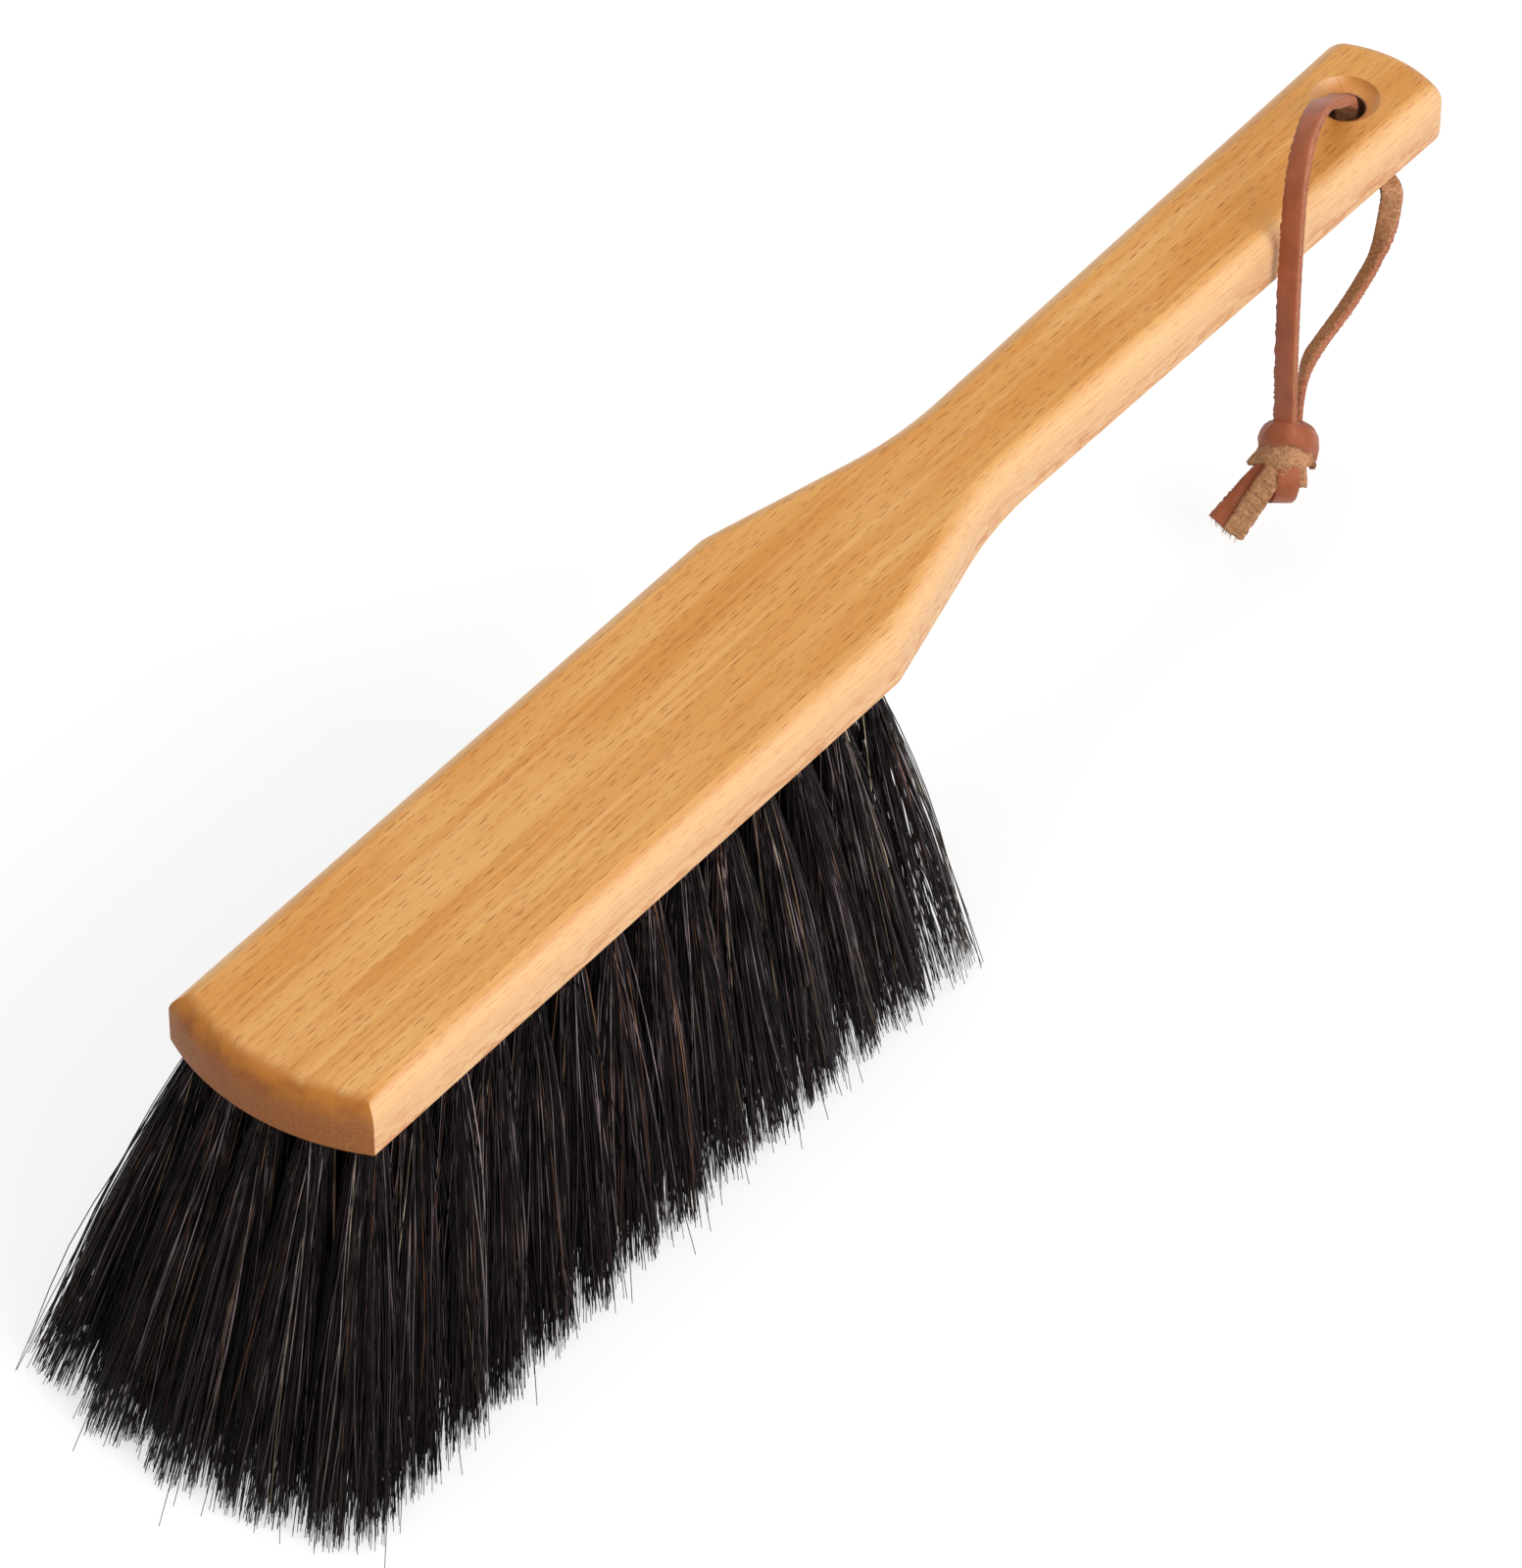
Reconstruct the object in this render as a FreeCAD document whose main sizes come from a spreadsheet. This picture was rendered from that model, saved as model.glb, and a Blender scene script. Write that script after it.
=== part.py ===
import FreeCAD, Part
import math
import os

import Sketcher

# Hand broom: a beech back and handle in one piece, bundles of horsehair folded over wire
# anchors in blind holes, and a knotted leather strap through the hanging hole.
# Millimetres. The trimmed hair tips stand at z 0, the handle points along +X.

ROWS = 14
COLUMNS = 5

SIZES = (
    # Beech back and handle, seen from above
    ("block_width", "46"),
    ("block_length", "150"),
    ("near_end_radius", "50"),
    ("neck_position", "206"),
    ("neck_width", "23.4"),
    ("neck_radius", "90"),
    ("handle_reach", "336"),
    ("handle_end_width", "26.6"),
    ("handle_end_radius", "26"),
    ("shoulder_round", "8"),
    ("handle_corner_round", "4.5"),
    # Beech back and handle, in section
    ("wood_thickness", "12"),
    ("top_edge_round", "3.8"),
    ("bottom_edge_round", "0.8"),
    # Hanging hole
    ("hang_hole_inset", "14.8"),
    ("hang_hole_width", "8"),
    ("dish_width", "13.6"),
    ("dish_depth", "2.2"),
    ("dish_hollow_radius", "4"),
    # Tufts of hair
    ("bristle_length", "68"),
    ("tuft_hole_width", "5"),
    ("tuft_hole_depth", "8"),
    ("tuft_clearance", "0.1"),
    ("tuft_gap", "1.6"),
    ("trim_allowance", "14"),
    ("first_row_inset", "5"),
    ("first_row_bow", "4"),
    ("last_row_inset", "4"),
    ("side_row_inset", "5"),
    ("near_tip_overhang", "18"),
    ("far_tip_overhang", "7"),
    ("side_tip_overhang", "8"),
    # Wire anchors that hold the tufts
    ("anchor_length", "6.6"),
    ("anchor_height", "2"),
    ("anchor_thickness", "0.5"),
    ("anchor_seat", "1.2"),
    ("drill_run_in", "3"),
    # Leather strap
    ("strap_width", "4.5"),
    ("strap_thickness", "2"),
    ("knot_width", "14"),
    ("knot_height", "20"),
    ("knot_flat_width", "9.5"),
    # Frame
    ("origin_from_near_end", "155.53"),
)

# The strap's route, in millimetres from the hanging hole's axis and the underside of the wood
UPPER_STRAND = (
    (0.0, 0.0, 4.0),
    (0.0, 0.0, 11.5),
    (-10.0, -3.8, 20.2),
    (-21.0, -8.1, 28.4),
    (-31.8, -12.6, 30.5),
    (-38.3, -15.1, 23.5),
    (-40.4, -15.9, 11.0),
    (-41.8, -16.2, -6.0),
    (-41.6, -15.9, -20.0),
    (-40.2, -15.5, -29.0),
    (-40.2, -15.5, -35.0),
)
LOWER_STRAND = (
    (0.0, 0.0, 4.0),
    (0.0, 0.0, -2.5),
    (0.2, -6.5, -5.2),
    (-1.4, -12.2, -6.2),
    (-3.6, -13.9, -12.5),
    (-7.8, -14.1, -18.0),
    (-14.8, -14.5, -21.6),
    (-23.6, -15.0, -24.4),
    (-31.0, -15.6, -27.2),
    (-36.6, -16.6, -30.5),
    (-36.6, -16.6, -35.0),
)
LONG_TAIL = (
    (-39.8, -16.5, -55.0),
    (-39.8, -16.5, -58.8),
    (-43.5, -13.7, -61.4),
    (-48.1, -10.3, -62.2),
)
SHORT_TAIL = (
    (-36.9, -15.4, -55.0),
    (-36.9, -15.4, -59.2),
    (-39.5, -11.7, -62.1),
    (-43.1, -7.8, -63.0),
)
KNOT_TOP = (-38.2, -15.9, -35.0)
STRAP_ACROSS = FreeCAD.Vector(0.358, -0.934, 0.0)
CORD_ARC_SHARE = 0.45

doc = FreeCAD.newDocument("hand_broom")
sheet = doc.addObject("Spreadsheet::Sheet", "Sizes")
for line, (alias, value) in enumerate(SIZES, start=1):
    sheet.set(f"A{line}", alias)
    sheet.set(f"B{line}", value)
    sheet.setAlias(f"B{line}", alias)
doc.recompute()

HOLE_X = "(Sizes.handle_reach - Sizes.hang_hole_inset)"


def size(alias):
    """A driving dimension as a number."""
    return float(sheet.get(alias))


def vector(x, y, z=0.0):
    return FreeCAD.Vector(x, y, z)


# Sketch helpers


def origin_plane(body, role):
    return next(item for item in body.Origin.OriginFeatures if item.Role == role)


def new_sketch(body, name, role):
    sketch = body.newObject("Sketcher::SketchObject", name)
    sketch.AttachmentSupport = [(origin_plane(body, role), "")]
    sketch.MapMode = "FlatFace"
    return sketch


def segment(sketch, start, end):
    return sketch.addGeometry(Part.LineSegment(vector(*start), vector(*end)), False)


def arc(sketch, start, middle, end):
    return sketch.addGeometry(Part.Arc(vector(*start), vector(*middle), vector(*end)), False)


def tie(sketch, kind, *items):
    return sketch.addConstraint(Sketcher.Constraint(kind, *items))


def drive(sketch, expression, kind, *items):
    """A dimension of the sketch that follows the sheet."""
    index = tie(sketch, kind, *items)
    sketch.setExpression(f"Constraints[{index}]", expression)


def end_at(sketch, edge, point):
    """Which end of a sketched edge lies at a point: 1 for its start, 2 for its end."""
    starts_there = sketch.getPoint(edge, 1).distanceToPoint(vector(*point)) < 1e-6
    return 1 if starts_there else 2


def flipped(point, sign):
    return (point[0], sign * point[1])


def arc_middle(start, end, radius, side):
    """A point halfway along an arc from start to end, bulging to one side."""
    chord = vector(end[0] - start[0], end[1] - start[1])
    half = chord.Length / 2
    sagitta = radius - math.sqrt(radius * radius - half * half)
    across = vector(-chord.y, chord.x) / chord.Length
    middle = vector(*start) + chord / 2 + across * sagitta * side
    return (middle.x, middle.y)


# Beech back and handle


def neck_tangent_points(shoulder, neck, end, radius):
    """Where the shoulder's straight edge meets the neck's hollow arc."""
    run = vector(end[0] - neck[0], end[1] - neck[1])
    normal = vector(-run.y, run.x) / run.Length
    centre = vector(*neck) + normal * radius
    reach = centre - vector(*shoulder)
    turn = math.asin(radius / reach.Length)
    length = math.sqrt(reach.Length ** 2 - radius ** 2)
    angle = math.atan2(reach.y, reach.x) - turn
    start = vector(*shoulder) + vector(math.cos(angle), math.sin(angle)) * length
    return (start.x, start.y)


def sketch_wood_outline(body):
    sketch = new_sketch(body, "WoodOutline", "XY_Plane")
    half = size("block_width") / 2
    corner = (0.0, half)
    shoulder = (size("block_length"), half)
    neck = (size("neck_position"), size("neck_width") / 2)
    end = (size("handle_reach"), size("handle_end_width") / 2)
    hollow = neck_tangent_points(shoulder, neck, end, size("neck_radius"))

    sides = []
    for sign in (1, -1):
        start, stop = flipped(hollow, sign), flipped(neck, sign)
        middle = arc_middle(start, stop, size("neck_radius"), -sign)
        sides.append((
            segment(sketch, flipped(corner, sign), flipped(shoulder, sign)),
            segment(sketch, flipped(shoulder, sign), start),
            arc(sketch, start, middle, stop),
            segment(sketch, stop, flipped(end, sign)),
        ))
    near_middle = arc_middle(corner, flipped(corner, -1), size("near_end_radius"), -1)
    far_middle = arc_middle(end, flipped(end, -1), size("handle_end_radius"), 1)
    near_arc = arc(sketch, corner, near_middle, flipped(corner, -1))
    far_arc = arc(sketch, end, far_middle, flipped(end, -1))

    for sign, (block, taper, hollow_arc, grip) in zip((1, -1), sides):
        start, stop = flipped(hollow, sign), flipped(neck, sign)
        tie(sketch, "Coincident", near_arc, end_at(sketch, near_arc, flipped(corner, sign)), block, 1)
        tie(sketch, "Coincident", block, 2, taper, 1)
        tie(sketch, "Tangent", taper, 2, hollow_arc, end_at(sketch, hollow_arc, start))
        tie(sketch, "Tangent", hollow_arc, end_at(sketch, hollow_arc, stop), grip, 1)
        tie(sketch, "Coincident", grip, 2, far_arc, end_at(sketch, far_arc, flipped(end, sign)))

    upper, lower = sides
    tie(sketch, "Horizontal", upper[0])
    tie(sketch, "PointOnObject", upper[0], 1, -2)
    tie(sketch, "Symmetric", upper[0], 1, lower[0], 1, -1)
    tie(sketch, "Symmetric", upper[0], 2, lower[0], 2, -1)
    tie(sketch, "Symmetric", upper[3], 1, lower[3], 1, -1)
    tie(sketch, "Symmetric", upper[3], 2, lower[3], 2, -1)
    tie(sketch, "Equal", upper[2], lower[2])
    drive(sketch, "Sizes.block_width", "DistanceY", lower[0], 1, upper[0], 1, 2 * half)
    drive(sketch, "Sizes.block_length", "DistanceX", upper[0], 2, shoulder[0])
    drive(sketch, "Sizes.neck_position", "DistanceX", upper[3], 1, neck[0])
    drive(sketch, "Sizes.neck_width", "DistanceY", lower[3], 1, upper[3], 1, 2 * neck[1])
    drive(sketch, "Sizes.handle_reach", "DistanceX", upper[3], 2, end[0])
    drive(sketch, "Sizes.handle_end_width", "DistanceY", lower[3], 2, upper[3], 2, 2 * end[1])
    drive(sketch, "Sizes.neck_radius", "Radius", upper[2], size("neck_radius"))
    drive(sketch, "Sizes.near_end_radius", "Radius", near_arc, size("near_end_radius"))
    drive(sketch, "Sizes.handle_end_radius", "Radius", far_arc, size("handle_end_radius"))
    return sketch


def upright_edges(shape, x_position):
    """Names of the vertical edges that stand at a distance along the wood."""
    names = []
    for number, edge in enumerate(shape.Edges, start=1):
        low, high = edge.BoundBox.ZMin, edge.BoundBox.ZMax
        upright = edge.BoundBox.XLength < 1e-4 and edge.BoundBox.YLength < 1e-4
        if upright and high - low > 1e-3 and abs(edge.BoundBox.XMin - x_position) < 1e-3:
            names.append(f"Edge{number}")
    return names


def rim_edges(shape, level):
    """Names of the edges that lie flat at a height."""
    names = []
    for number, edge in enumerate(shape.Edges, start=1):
        if abs(edge.BoundBox.ZMin - level) < 1e-4 and abs(edge.BoundBox.ZMax - level) < 1e-4:
            names.append(f"Edge{number}")
    return names


def round_edges(body, name, base, edges, alias):
    fillet = body.newObject("PartDesign::Fillet", name)
    fillet.Base = (base, edges)
    fillet.setExpression("Radius", f"Sizes.{alias}")
    doc.recompute()
    return fillet


def sketch_hole_profile(body):
    """Half of the hanging hole's section: a bore with a hollow dish at each face."""
    sketch = new_sketch(body, "HangHoleProfile", "XZ_Plane")
    axis_x = size("handle_reach") - size("hang_hole_inset")
    bore_x = axis_x + size("hang_hole_width") / 2
    dish_x = axis_x + size("dish_width") / 2
    depth, top = size("dish_depth"), size("wood_thickness")
    hollow = size("dish_hollow_radius")
    low_dish, low_bore = (dish_x, 0.0), (bore_x, depth)
    high_bore, high_dish = (bore_x, top - depth), (dish_x, top)
    foot, head = (axis_x, 0.0), (axis_x, top)

    axis = segment(sketch, head, foot)
    floor = segment(sketch, foot, low_dish)
    low_arc = arc(sketch, low_dish, arc_middle(low_dish, low_bore, hollow, -1), low_bore)
    bore = segment(sketch, low_bore, high_bore)
    high_arc = arc(sketch, high_bore, arc_middle(high_bore, high_dish, hollow, -1), high_dish)
    roof = segment(sketch, high_dish, head)

    tie(sketch, "Coincident", axis, 2, floor, 1)
    tie(sketch, "Coincident", floor, 2, low_arc, end_at(sketch, low_arc, low_dish))
    tie(sketch, "Coincident", low_arc, end_at(sketch, low_arc, low_bore), bore, 1)
    tie(sketch, "Coincident", bore, 2, high_arc, end_at(sketch, high_arc, high_bore))
    tie(sketch, "Coincident", high_arc, end_at(sketch, high_arc, high_dish), roof, 1)
    tie(sketch, "Coincident", roof, 2, axis, 1)
    for edge in (axis, bore):
        tie(sketch, "Vertical", edge)
    for edge in (floor, roof):
        tie(sketch, "Horizontal", edge)
    tie(sketch, "PointOnObject", axis, 2, -1)
    tie(sketch, "Equal", low_arc, high_arc)
    drive(sketch, HOLE_X, "DistanceX", axis, 2, axis_x)
    drive(sketch, "Sizes.wood_thickness", "DistanceY", axis, 1, top)
    drive(sketch, "Sizes.dish_width / 2", "DistanceX", floor, 1, floor, 2, dish_x - axis_x)
    drive(sketch, "Sizes.dish_width / 2", "DistanceX", roof, 2, roof, 1, dish_x - axis_x)
    drive(sketch, "Sizes.hang_hole_width / 2", "DistanceX", axis, 2, bore, 1, bore_x - axis_x)
    drive(sketch, "Sizes.dish_depth", "DistanceY", floor, 2, bore, 1, depth)
    drive(sketch, "Sizes.dish_depth", "DistanceY", bore, 2, roof, 1, depth)
    drive(sketch, "Sizes.dish_hollow_radius", "Radius", low_arc, hollow)
    return sketch, axis


def make_wood_blank():
    """The back and handle before its tuft holes are drilled."""
    body = doc.addObject("PartDesign::Body", "WoodBlank")
    outline = sketch_wood_outline(body)
    doc.recompute()
    plank = body.newObject("PartDesign::Pad", "Plank")
    plank.Profile = outline
    plank.setExpression("Length", "Sizes.wood_thickness")
    doc.recompute()
    shoulders = round_edges(body, "Shoulders", plank,
                            upright_edges(plank.Shape, size("block_length")), "shoulder_round")
    corners = round_edges(body, "HandleCorners", shoulders,
                          upright_edges(shoulders.Shape, size("handle_reach")), "handle_corner_round")
    top = round_edges(body, "TopEdges", corners,
                      rim_edges(corners.Shape, size("wood_thickness")), "top_edge_round")
    rounded = round_edges(body, "BottomEdges", top, rim_edges(top.Shape, 0.0), "bottom_edge_round")
    profile, axis = sketch_hole_profile(body)
    doc.recompute()
    hole = body.newObject("PartDesign::Groove", "HangHole")
    hole.Profile = profile
    hole.ReferenceAxis = (profile, [f"Edge{axis + 1}"])
    hole.Angle = 360
    doc.recompute()
    if hole.Shape.Volume > rounded.Shape.Volume - 1:
        raise RuntimeError("the hanging hole cut nothing")
    body.setExpression("Placement.Base.x", "-Sizes.origin_from_near_end")
    body.setExpression("Placement.Base.z", "Sizes.bristle_length")
    return body


# Tufts: where each one leaves the wood and where its tips stand


def spread(first, last, step, steps):
    return f"({first} + ({last} - ({first})) * {step} / {steps})"


def tuft_frame(row, column):
    """Expression for a tuft's place: its mouth on the underside, Z up along its hole."""
    side = 2 * column / (COLUMNS - 1) - 1
    row_steps = ROWS - 1
    bow = f"Sizes.first_row_bow * {(1 - side * side) * (1 - row / row_steps)}"
    mouth_x = spread("Sizes.first_row_inset", "Sizes.block_length - Sizes.last_row_inset", row, row_steps)
    mouth_x = f"({mouth_x} - {bow})"
    mouth_y = f"({side} * (Sizes.block_width / 2 - Sizes.side_row_inset))"
    tip_x = spread("-Sizes.near_tip_overhang", "Sizes.block_length + Sizes.far_tip_overhang", row, row_steps)
    tip_x = f"({tip_x} - {bow})"
    tip_y = f"({side} * (Sizes.block_width / 2 + Sizes.side_tip_overhang))"
    lean_x = f"({mouth_x} - {tip_x})"
    lean_y = f"({mouth_y} - {tip_y})"
    pitch = f"atan2({lean_x}; Sizes.bristle_length)"
    roll = f"-atan2({lean_y}; hypot({lean_x}; Sizes.bristle_length))"
    mouth = f"vector({mouth_x} - Sizes.origin_from_near_end; {mouth_y}; Sizes.bristle_length)"
    return f"placement({mouth}; rotation(0; {pitch}; {roll}))"


# Tufts and their holes are flat sided, which keeps the faces of what repeats few
TUFT_SIDES = 8
HOLE_SIDES = 12
ROOT_RADIUS = "(Sizes.tuft_hole_width / 2 - Sizes.tuft_clearance)"
HOLE_RADIUS = f"(Sizes.tuft_hole_width / 2 / cos(180 / {HOLE_SIDES}))"
ROOT_FLAT = f"({ROOT_RADIUS} * cos(180 / {TUFT_SIDES}))"
TIP_PITCH_ALONG = (f"((Sizes.block_length + Sizes.near_tip_overhang + Sizes.far_tip_overhang)"
                   f" / {ROWS - 1})")
TIP_PITCH_ACROSS = f"((Sizes.block_width + 2 * Sizes.side_tip_overhang) / {COLUMNS - 1})"
TIP_FLAT = f"((min({TIP_PITCH_ALONG}; {TIP_PITCH_ACROSS}) - Sizes.tuft_gap) / 2)"
HAIR_BEFORE_TRIM = "(Sizes.bristle_length + Sizes.trim_allowance)"
END_FLAT = f"({ROOT_FLAT} + ({TIP_FLAT} - {ROOT_FLAT}) * {HAIR_BEFORE_TRIM} / Sizes.bristle_length)"
ANCHOR_TOP = "(Sizes.tuft_hole_depth - Sizes.anchor_seat)"


def primitive(kind, name, place, **sizes):
    item = doc.addObject(f"Part::{kind}", name)
    for key, expression in sizes.items():
        item.setExpression(key, expression)
    item.setExpression("Placement", place)
    return item


def beside(owner, x, y, z, yaw=0, roll=0):
    return f"{owner.Name}.Placement * placement(vector({x}; {y}; {z}); rotation({yaw}; 0; {roll}))"


def compound(name, items):
    group = doc.addObject("Part::Compound", name)
    group.Links = items
    return group


def cut(name, base, tool):
    result = doc.addObject("Part::Cut", name)
    result.Base = base
    result.Tool = tool
    return result


def make_taper(name, owner, level, foot, head, height, roll=90):
    """A taper with eight flat sides: two square ones, an eighth of a turn apart."""
    squares = []
    for letter, yaw in (("A", 0), ("B", 360 / TUFT_SIDES)):
        squares.append(primitive("Wedge", f"{name}{letter}", beside(owner, 0, 0, level, yaw=yaw, roll=roll),
                                 Xmin=f"-{foot}", Xmax=foot, Zmin=f"-{foot}", Zmax=foot,
                                 X2min=f"-{head}", X2max=head, Z2min=f"-{head}", Z2max=head,
                                 Ymin="0", Ymax=height))
    taper = doc.addObject("Part::Common", name)
    taper.Base, taper.Tool = squares
    return taper


def make_tuft_pieces(row, column):
    """One tuft's root and flare, its anchor, and the hole and slot that they need."""
    mark = f"{row + 1:02d}_{column + 1}"
    half_length = "-Sizes.anchor_length / 2"
    half_thickness = "-Sizes.anchor_thickness / 2"
    axis = primitive("Vertex", f"Mouth_{mark}", tuft_frame(row, column))
    root = primitive("Prism", f"Root_{mark}", beside(axis, 0, 0, 0, yaw=180 / TUFT_SIDES),
                     Polygon=f"{TUFT_SIDES}", Circumradius=ROOT_RADIUS, Height="Sizes.tuft_hole_depth")
    flare = make_taper(f"Flare_{mark}", axis, f"-{HAIR_BEFORE_TRIM}", END_FLAT, ROOT_FLAT, HAIR_BEFORE_TRIM)
    hole = primitive("Prism", f"Hole_{mark}", beside(axis, 0, 0, "-Sizes.drill_run_in"),
                     Polygon=f"{HOLE_SIDES}", Circumradius=HOLE_RADIUS,
                     Height="Sizes.tuft_hole_depth + Sizes.drill_run_in")
    slot = primitive("Box", f"Slot_{mark}",
                     beside(axis, half_length, half_thickness, "-Sizes.drill_run_in"),
                     Length="Sizes.anchor_length", Width="Sizes.anchor_thickness",
                     Height=f"{ANCHOR_TOP} + Sizes.drill_run_in")
    anchor = primitive("Box", f"Anchor_{mark}",
                       beside(axis, half_length, half_thickness, f"{ANCHOR_TOP} - Sizes.anchor_height"),
                       Length="Sizes.anchor_length", Width="Sizes.anchor_thickness",
                       Height="Sizes.anchor_height")
    return root, flare, hole, slot, anchor


def make_trim_waste():
    """The space below the floor, where the hair ends are cut off level."""
    waste = doc.addObject("Part::Box", "TrimWaste")
    reach = "(Sizes.handle_reach + Sizes.block_width)"
    waste.setExpression("Length", f"2 * {reach}")
    waste.setExpression("Width", f"2 * {reach}")
    waste.setExpression("Height", HAIR_BEFORE_TRIM)
    waste.setExpression("Placement.Base.x", f"-{reach}")
    waste.setExpression("Placement.Base.y", f"-{reach}")
    waste.setExpression("Placement.Base.z", f"-{HAIR_BEFORE_TRIM}")
    return waste


def make_tufted_block(nodes):
    waste = make_trim_waste()
    holes, slots, anchors = [], [], []
    for row in range(ROWS):
        bundles, row_anchors = [], []
        for column in range(COLUMNS):
            root, flare, hole, slot, anchor = make_tuft_pieces(row, column)
            bundles += [root, flare]
            row_anchors.append(anchor)
            holes.append(hole)
            slots.append(slot)
        hair = doc.addObject("Part::MultiFuse", f"Hair_{row + 1:02d}")
        hair.Shapes = bundles
        trimmed = cut(f"Trimmed_{row + 1:02d}", hair, waste)
        folds = compound(f"Folds_{row + 1:02d}", row_anchors)
        nodes[f"tuft_row_{row + 1:02d}"] = cut(f"TuftRow_{row + 1:02d}", trimmed, folds)
        anchors += row_anchors
    drilled = cut("Drilled", make_wood_blank(), compound("TuftHoles", holes))
    nodes["handle_block"] = cut("HandleBlock", drilled, compound("AnchorSlots", slots))
    nodes["tuft_anchors"] = compound("TuftAnchors", anchors)


# Leather strap


def cord_path(points, name):
    """Straight runs joined by arcs as large as the runs allow."""
    spots = [vector(*point) for point in points]
    edges = []
    last = spots[0]
    radii = []
    for before, spot, after in zip(spots, spots[1:], spots[2:]):
        arriving = (spot - before).normalize()
        leaving = (after - spot).normalize()
        half_turn = arriving.getAngle(leaving) / 2
        cut_back = CORD_ARC_SHARE * min((spot - before).Length, (after - spot).Length)
        radius = cut_back / math.tan(half_turn)
        start, stop = spot - arriving * cut_back, spot + leaving * cut_back
        inward = (leaving - arriving).normalize()
        middle = spot + inward * (radius / math.cos(half_turn) - radius)
        edges.append(Part.LineSegment(last, start).toShape())
        edges.append(Part.Arc(start, middle, stop).toShape())
        radii.append(radius)
        last = stop
    edges.append(Part.LineSegment(last, spots[-1]).toShape())
    print(name, "bend radii", [round(radius, 1) for radius in radii])
    return Part.Wire(edges)


def strap_solid(points, name):
    """A flat thong swept along its route."""
    path = cord_path(points, name)
    start = vector(*points[0])
    ahead = (vector(*points[1]) - start).normalize()
    across = (STRAP_ACROSS - ahead * STRAP_ACROSS.dot(ahead)).normalize()
    through = ahead.cross(across)
    half_width = across * (size("strap_width") / 2)
    half_thickness = through * (size("strap_thickness") / 2)
    corners = [start + half_width + half_thickness, start - half_width + half_thickness,
               start - half_width - half_thickness, start + half_width - half_thickness]
    section = Part.makePolygon(corners + corners[:1])
    solid = path.makePipeShell([section], True, False)
    expected = size("strap_width") * size("strap_thickness") * path.Length
    print(name, "length", round(path.Length, 1), "volume share", round(solid.Volume / expected, 3))
    return solid


def hang_from_hole(item):
    """Places a piece of the strap by the hanging hole's axis and the wood's underside."""
    item.setExpression("Placement.Base.x", f"{HOLE_X} - Sizes.origin_from_near_end")
    item.setExpression("Placement.Base.z", "Sizes.bristle_length")


def strap_piece(name, *routes):
    item = doc.addObject("Part::Feature", name)
    solids = [strap_solid(route, name) for route in routes]
    item.Shape = solids[0] if len(solids) == 1 else Part.makeCompound(solids)
    hang_from_hole(item)
    return item


def make_knot():
    """The overhand knot's outer form, flat where the strands enter and leave."""
    half_height = "(Sizes.knot_height / 2)"
    belly = "(Sizes.knot_width / 2)"
    flat = "(Sizes.knot_flat_width / 2)"
    place = (f"placement(vector({HOLE_X} - Sizes.origin_from_near_end + {KNOT_TOP[0]}; {KNOT_TOP[1]};"
             f" Sizes.bristle_length + {KNOT_TOP[2]} - {half_height}); rotation(0; 0; 0))")
    middle = primitive("Vertex", "KnotMiddle", place)
    knot = doc.addObject("Part::MultiFuse", "StrapKnot")
    knot.Shapes = [make_taper("KnotUpper", middle, 0, belly, flat, half_height),
                   make_taper("KnotLower", middle, 0, belly, flat, half_height, roll=-90)]
    return knot


def write_nodes(nodes):
    """Labels, checks and writes every sub-part."""
    for name, item in nodes.items():
        item.Label = name
    doc.recompute()
    failed = [item.Name for item in doc.Objects if {"Invalid", "Error"} & set(item.State)]
    if failed:
        raise RuntimeError(f"failed objects: {failed}")
    for name, item in nodes.items():
        if item.Shape.isNull() or not item.Shape.isValid() or not item.Shape.Solids:
            raise RuntimeError(f"bad shape: {name}")
    os.makedirs("parts", exist_ok=True)
    for name, item in nodes.items():
        item.Shape.exportStep(f"parts/{name}.step")
        box = item.Shape.BoundBox
        print(f"{name}: {len(item.Shape.Solids)} solids, volume {item.Shape.Volume:.1f},"
              f" x {box.XMin:.2f} to {box.XMax:.2f}, z {box.ZMin:.2f} to {box.ZMax:.2f}")


nodes = {}
make_tufted_block(nodes)
nodes["strap_upper"] = strap_piece("StrapUpper", UPPER_STRAND)
nodes["strap_lower"] = strap_piece("StrapLower", LOWER_STRAND)
nodes["strap_knot"] = make_knot()
nodes["strap_tails"] = strap_piece("StrapTails", LONG_TAIL, SHORT_TAIL)
write_nodes(nodes)
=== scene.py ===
import random
from math import asin, atan2, cos, exp, pi, radians, sin, sqrt, tan, tau

import bmesh
import bpy
from mathutils import Matrix, Vector


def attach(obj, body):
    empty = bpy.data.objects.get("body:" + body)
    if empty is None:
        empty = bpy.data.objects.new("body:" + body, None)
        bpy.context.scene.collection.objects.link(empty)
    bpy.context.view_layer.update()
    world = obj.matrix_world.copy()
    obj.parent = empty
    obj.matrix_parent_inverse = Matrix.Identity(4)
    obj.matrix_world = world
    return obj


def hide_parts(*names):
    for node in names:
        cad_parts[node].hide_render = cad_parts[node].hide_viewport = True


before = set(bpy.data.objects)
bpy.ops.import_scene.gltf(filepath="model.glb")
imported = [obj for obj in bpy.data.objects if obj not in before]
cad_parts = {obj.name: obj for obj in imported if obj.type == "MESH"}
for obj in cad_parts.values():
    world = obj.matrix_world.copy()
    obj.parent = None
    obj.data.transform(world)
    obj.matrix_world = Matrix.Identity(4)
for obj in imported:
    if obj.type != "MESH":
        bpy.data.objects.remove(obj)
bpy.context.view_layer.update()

# Hand broom: beech back and handle, tufts of dark horsehair, knotted leather thong.
# Metres, in the CAD frame: the handle along +X, the trimmed hair tips at z 0.

MM = 0.001
ROWS = 14
COLUMNS = 5

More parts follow.
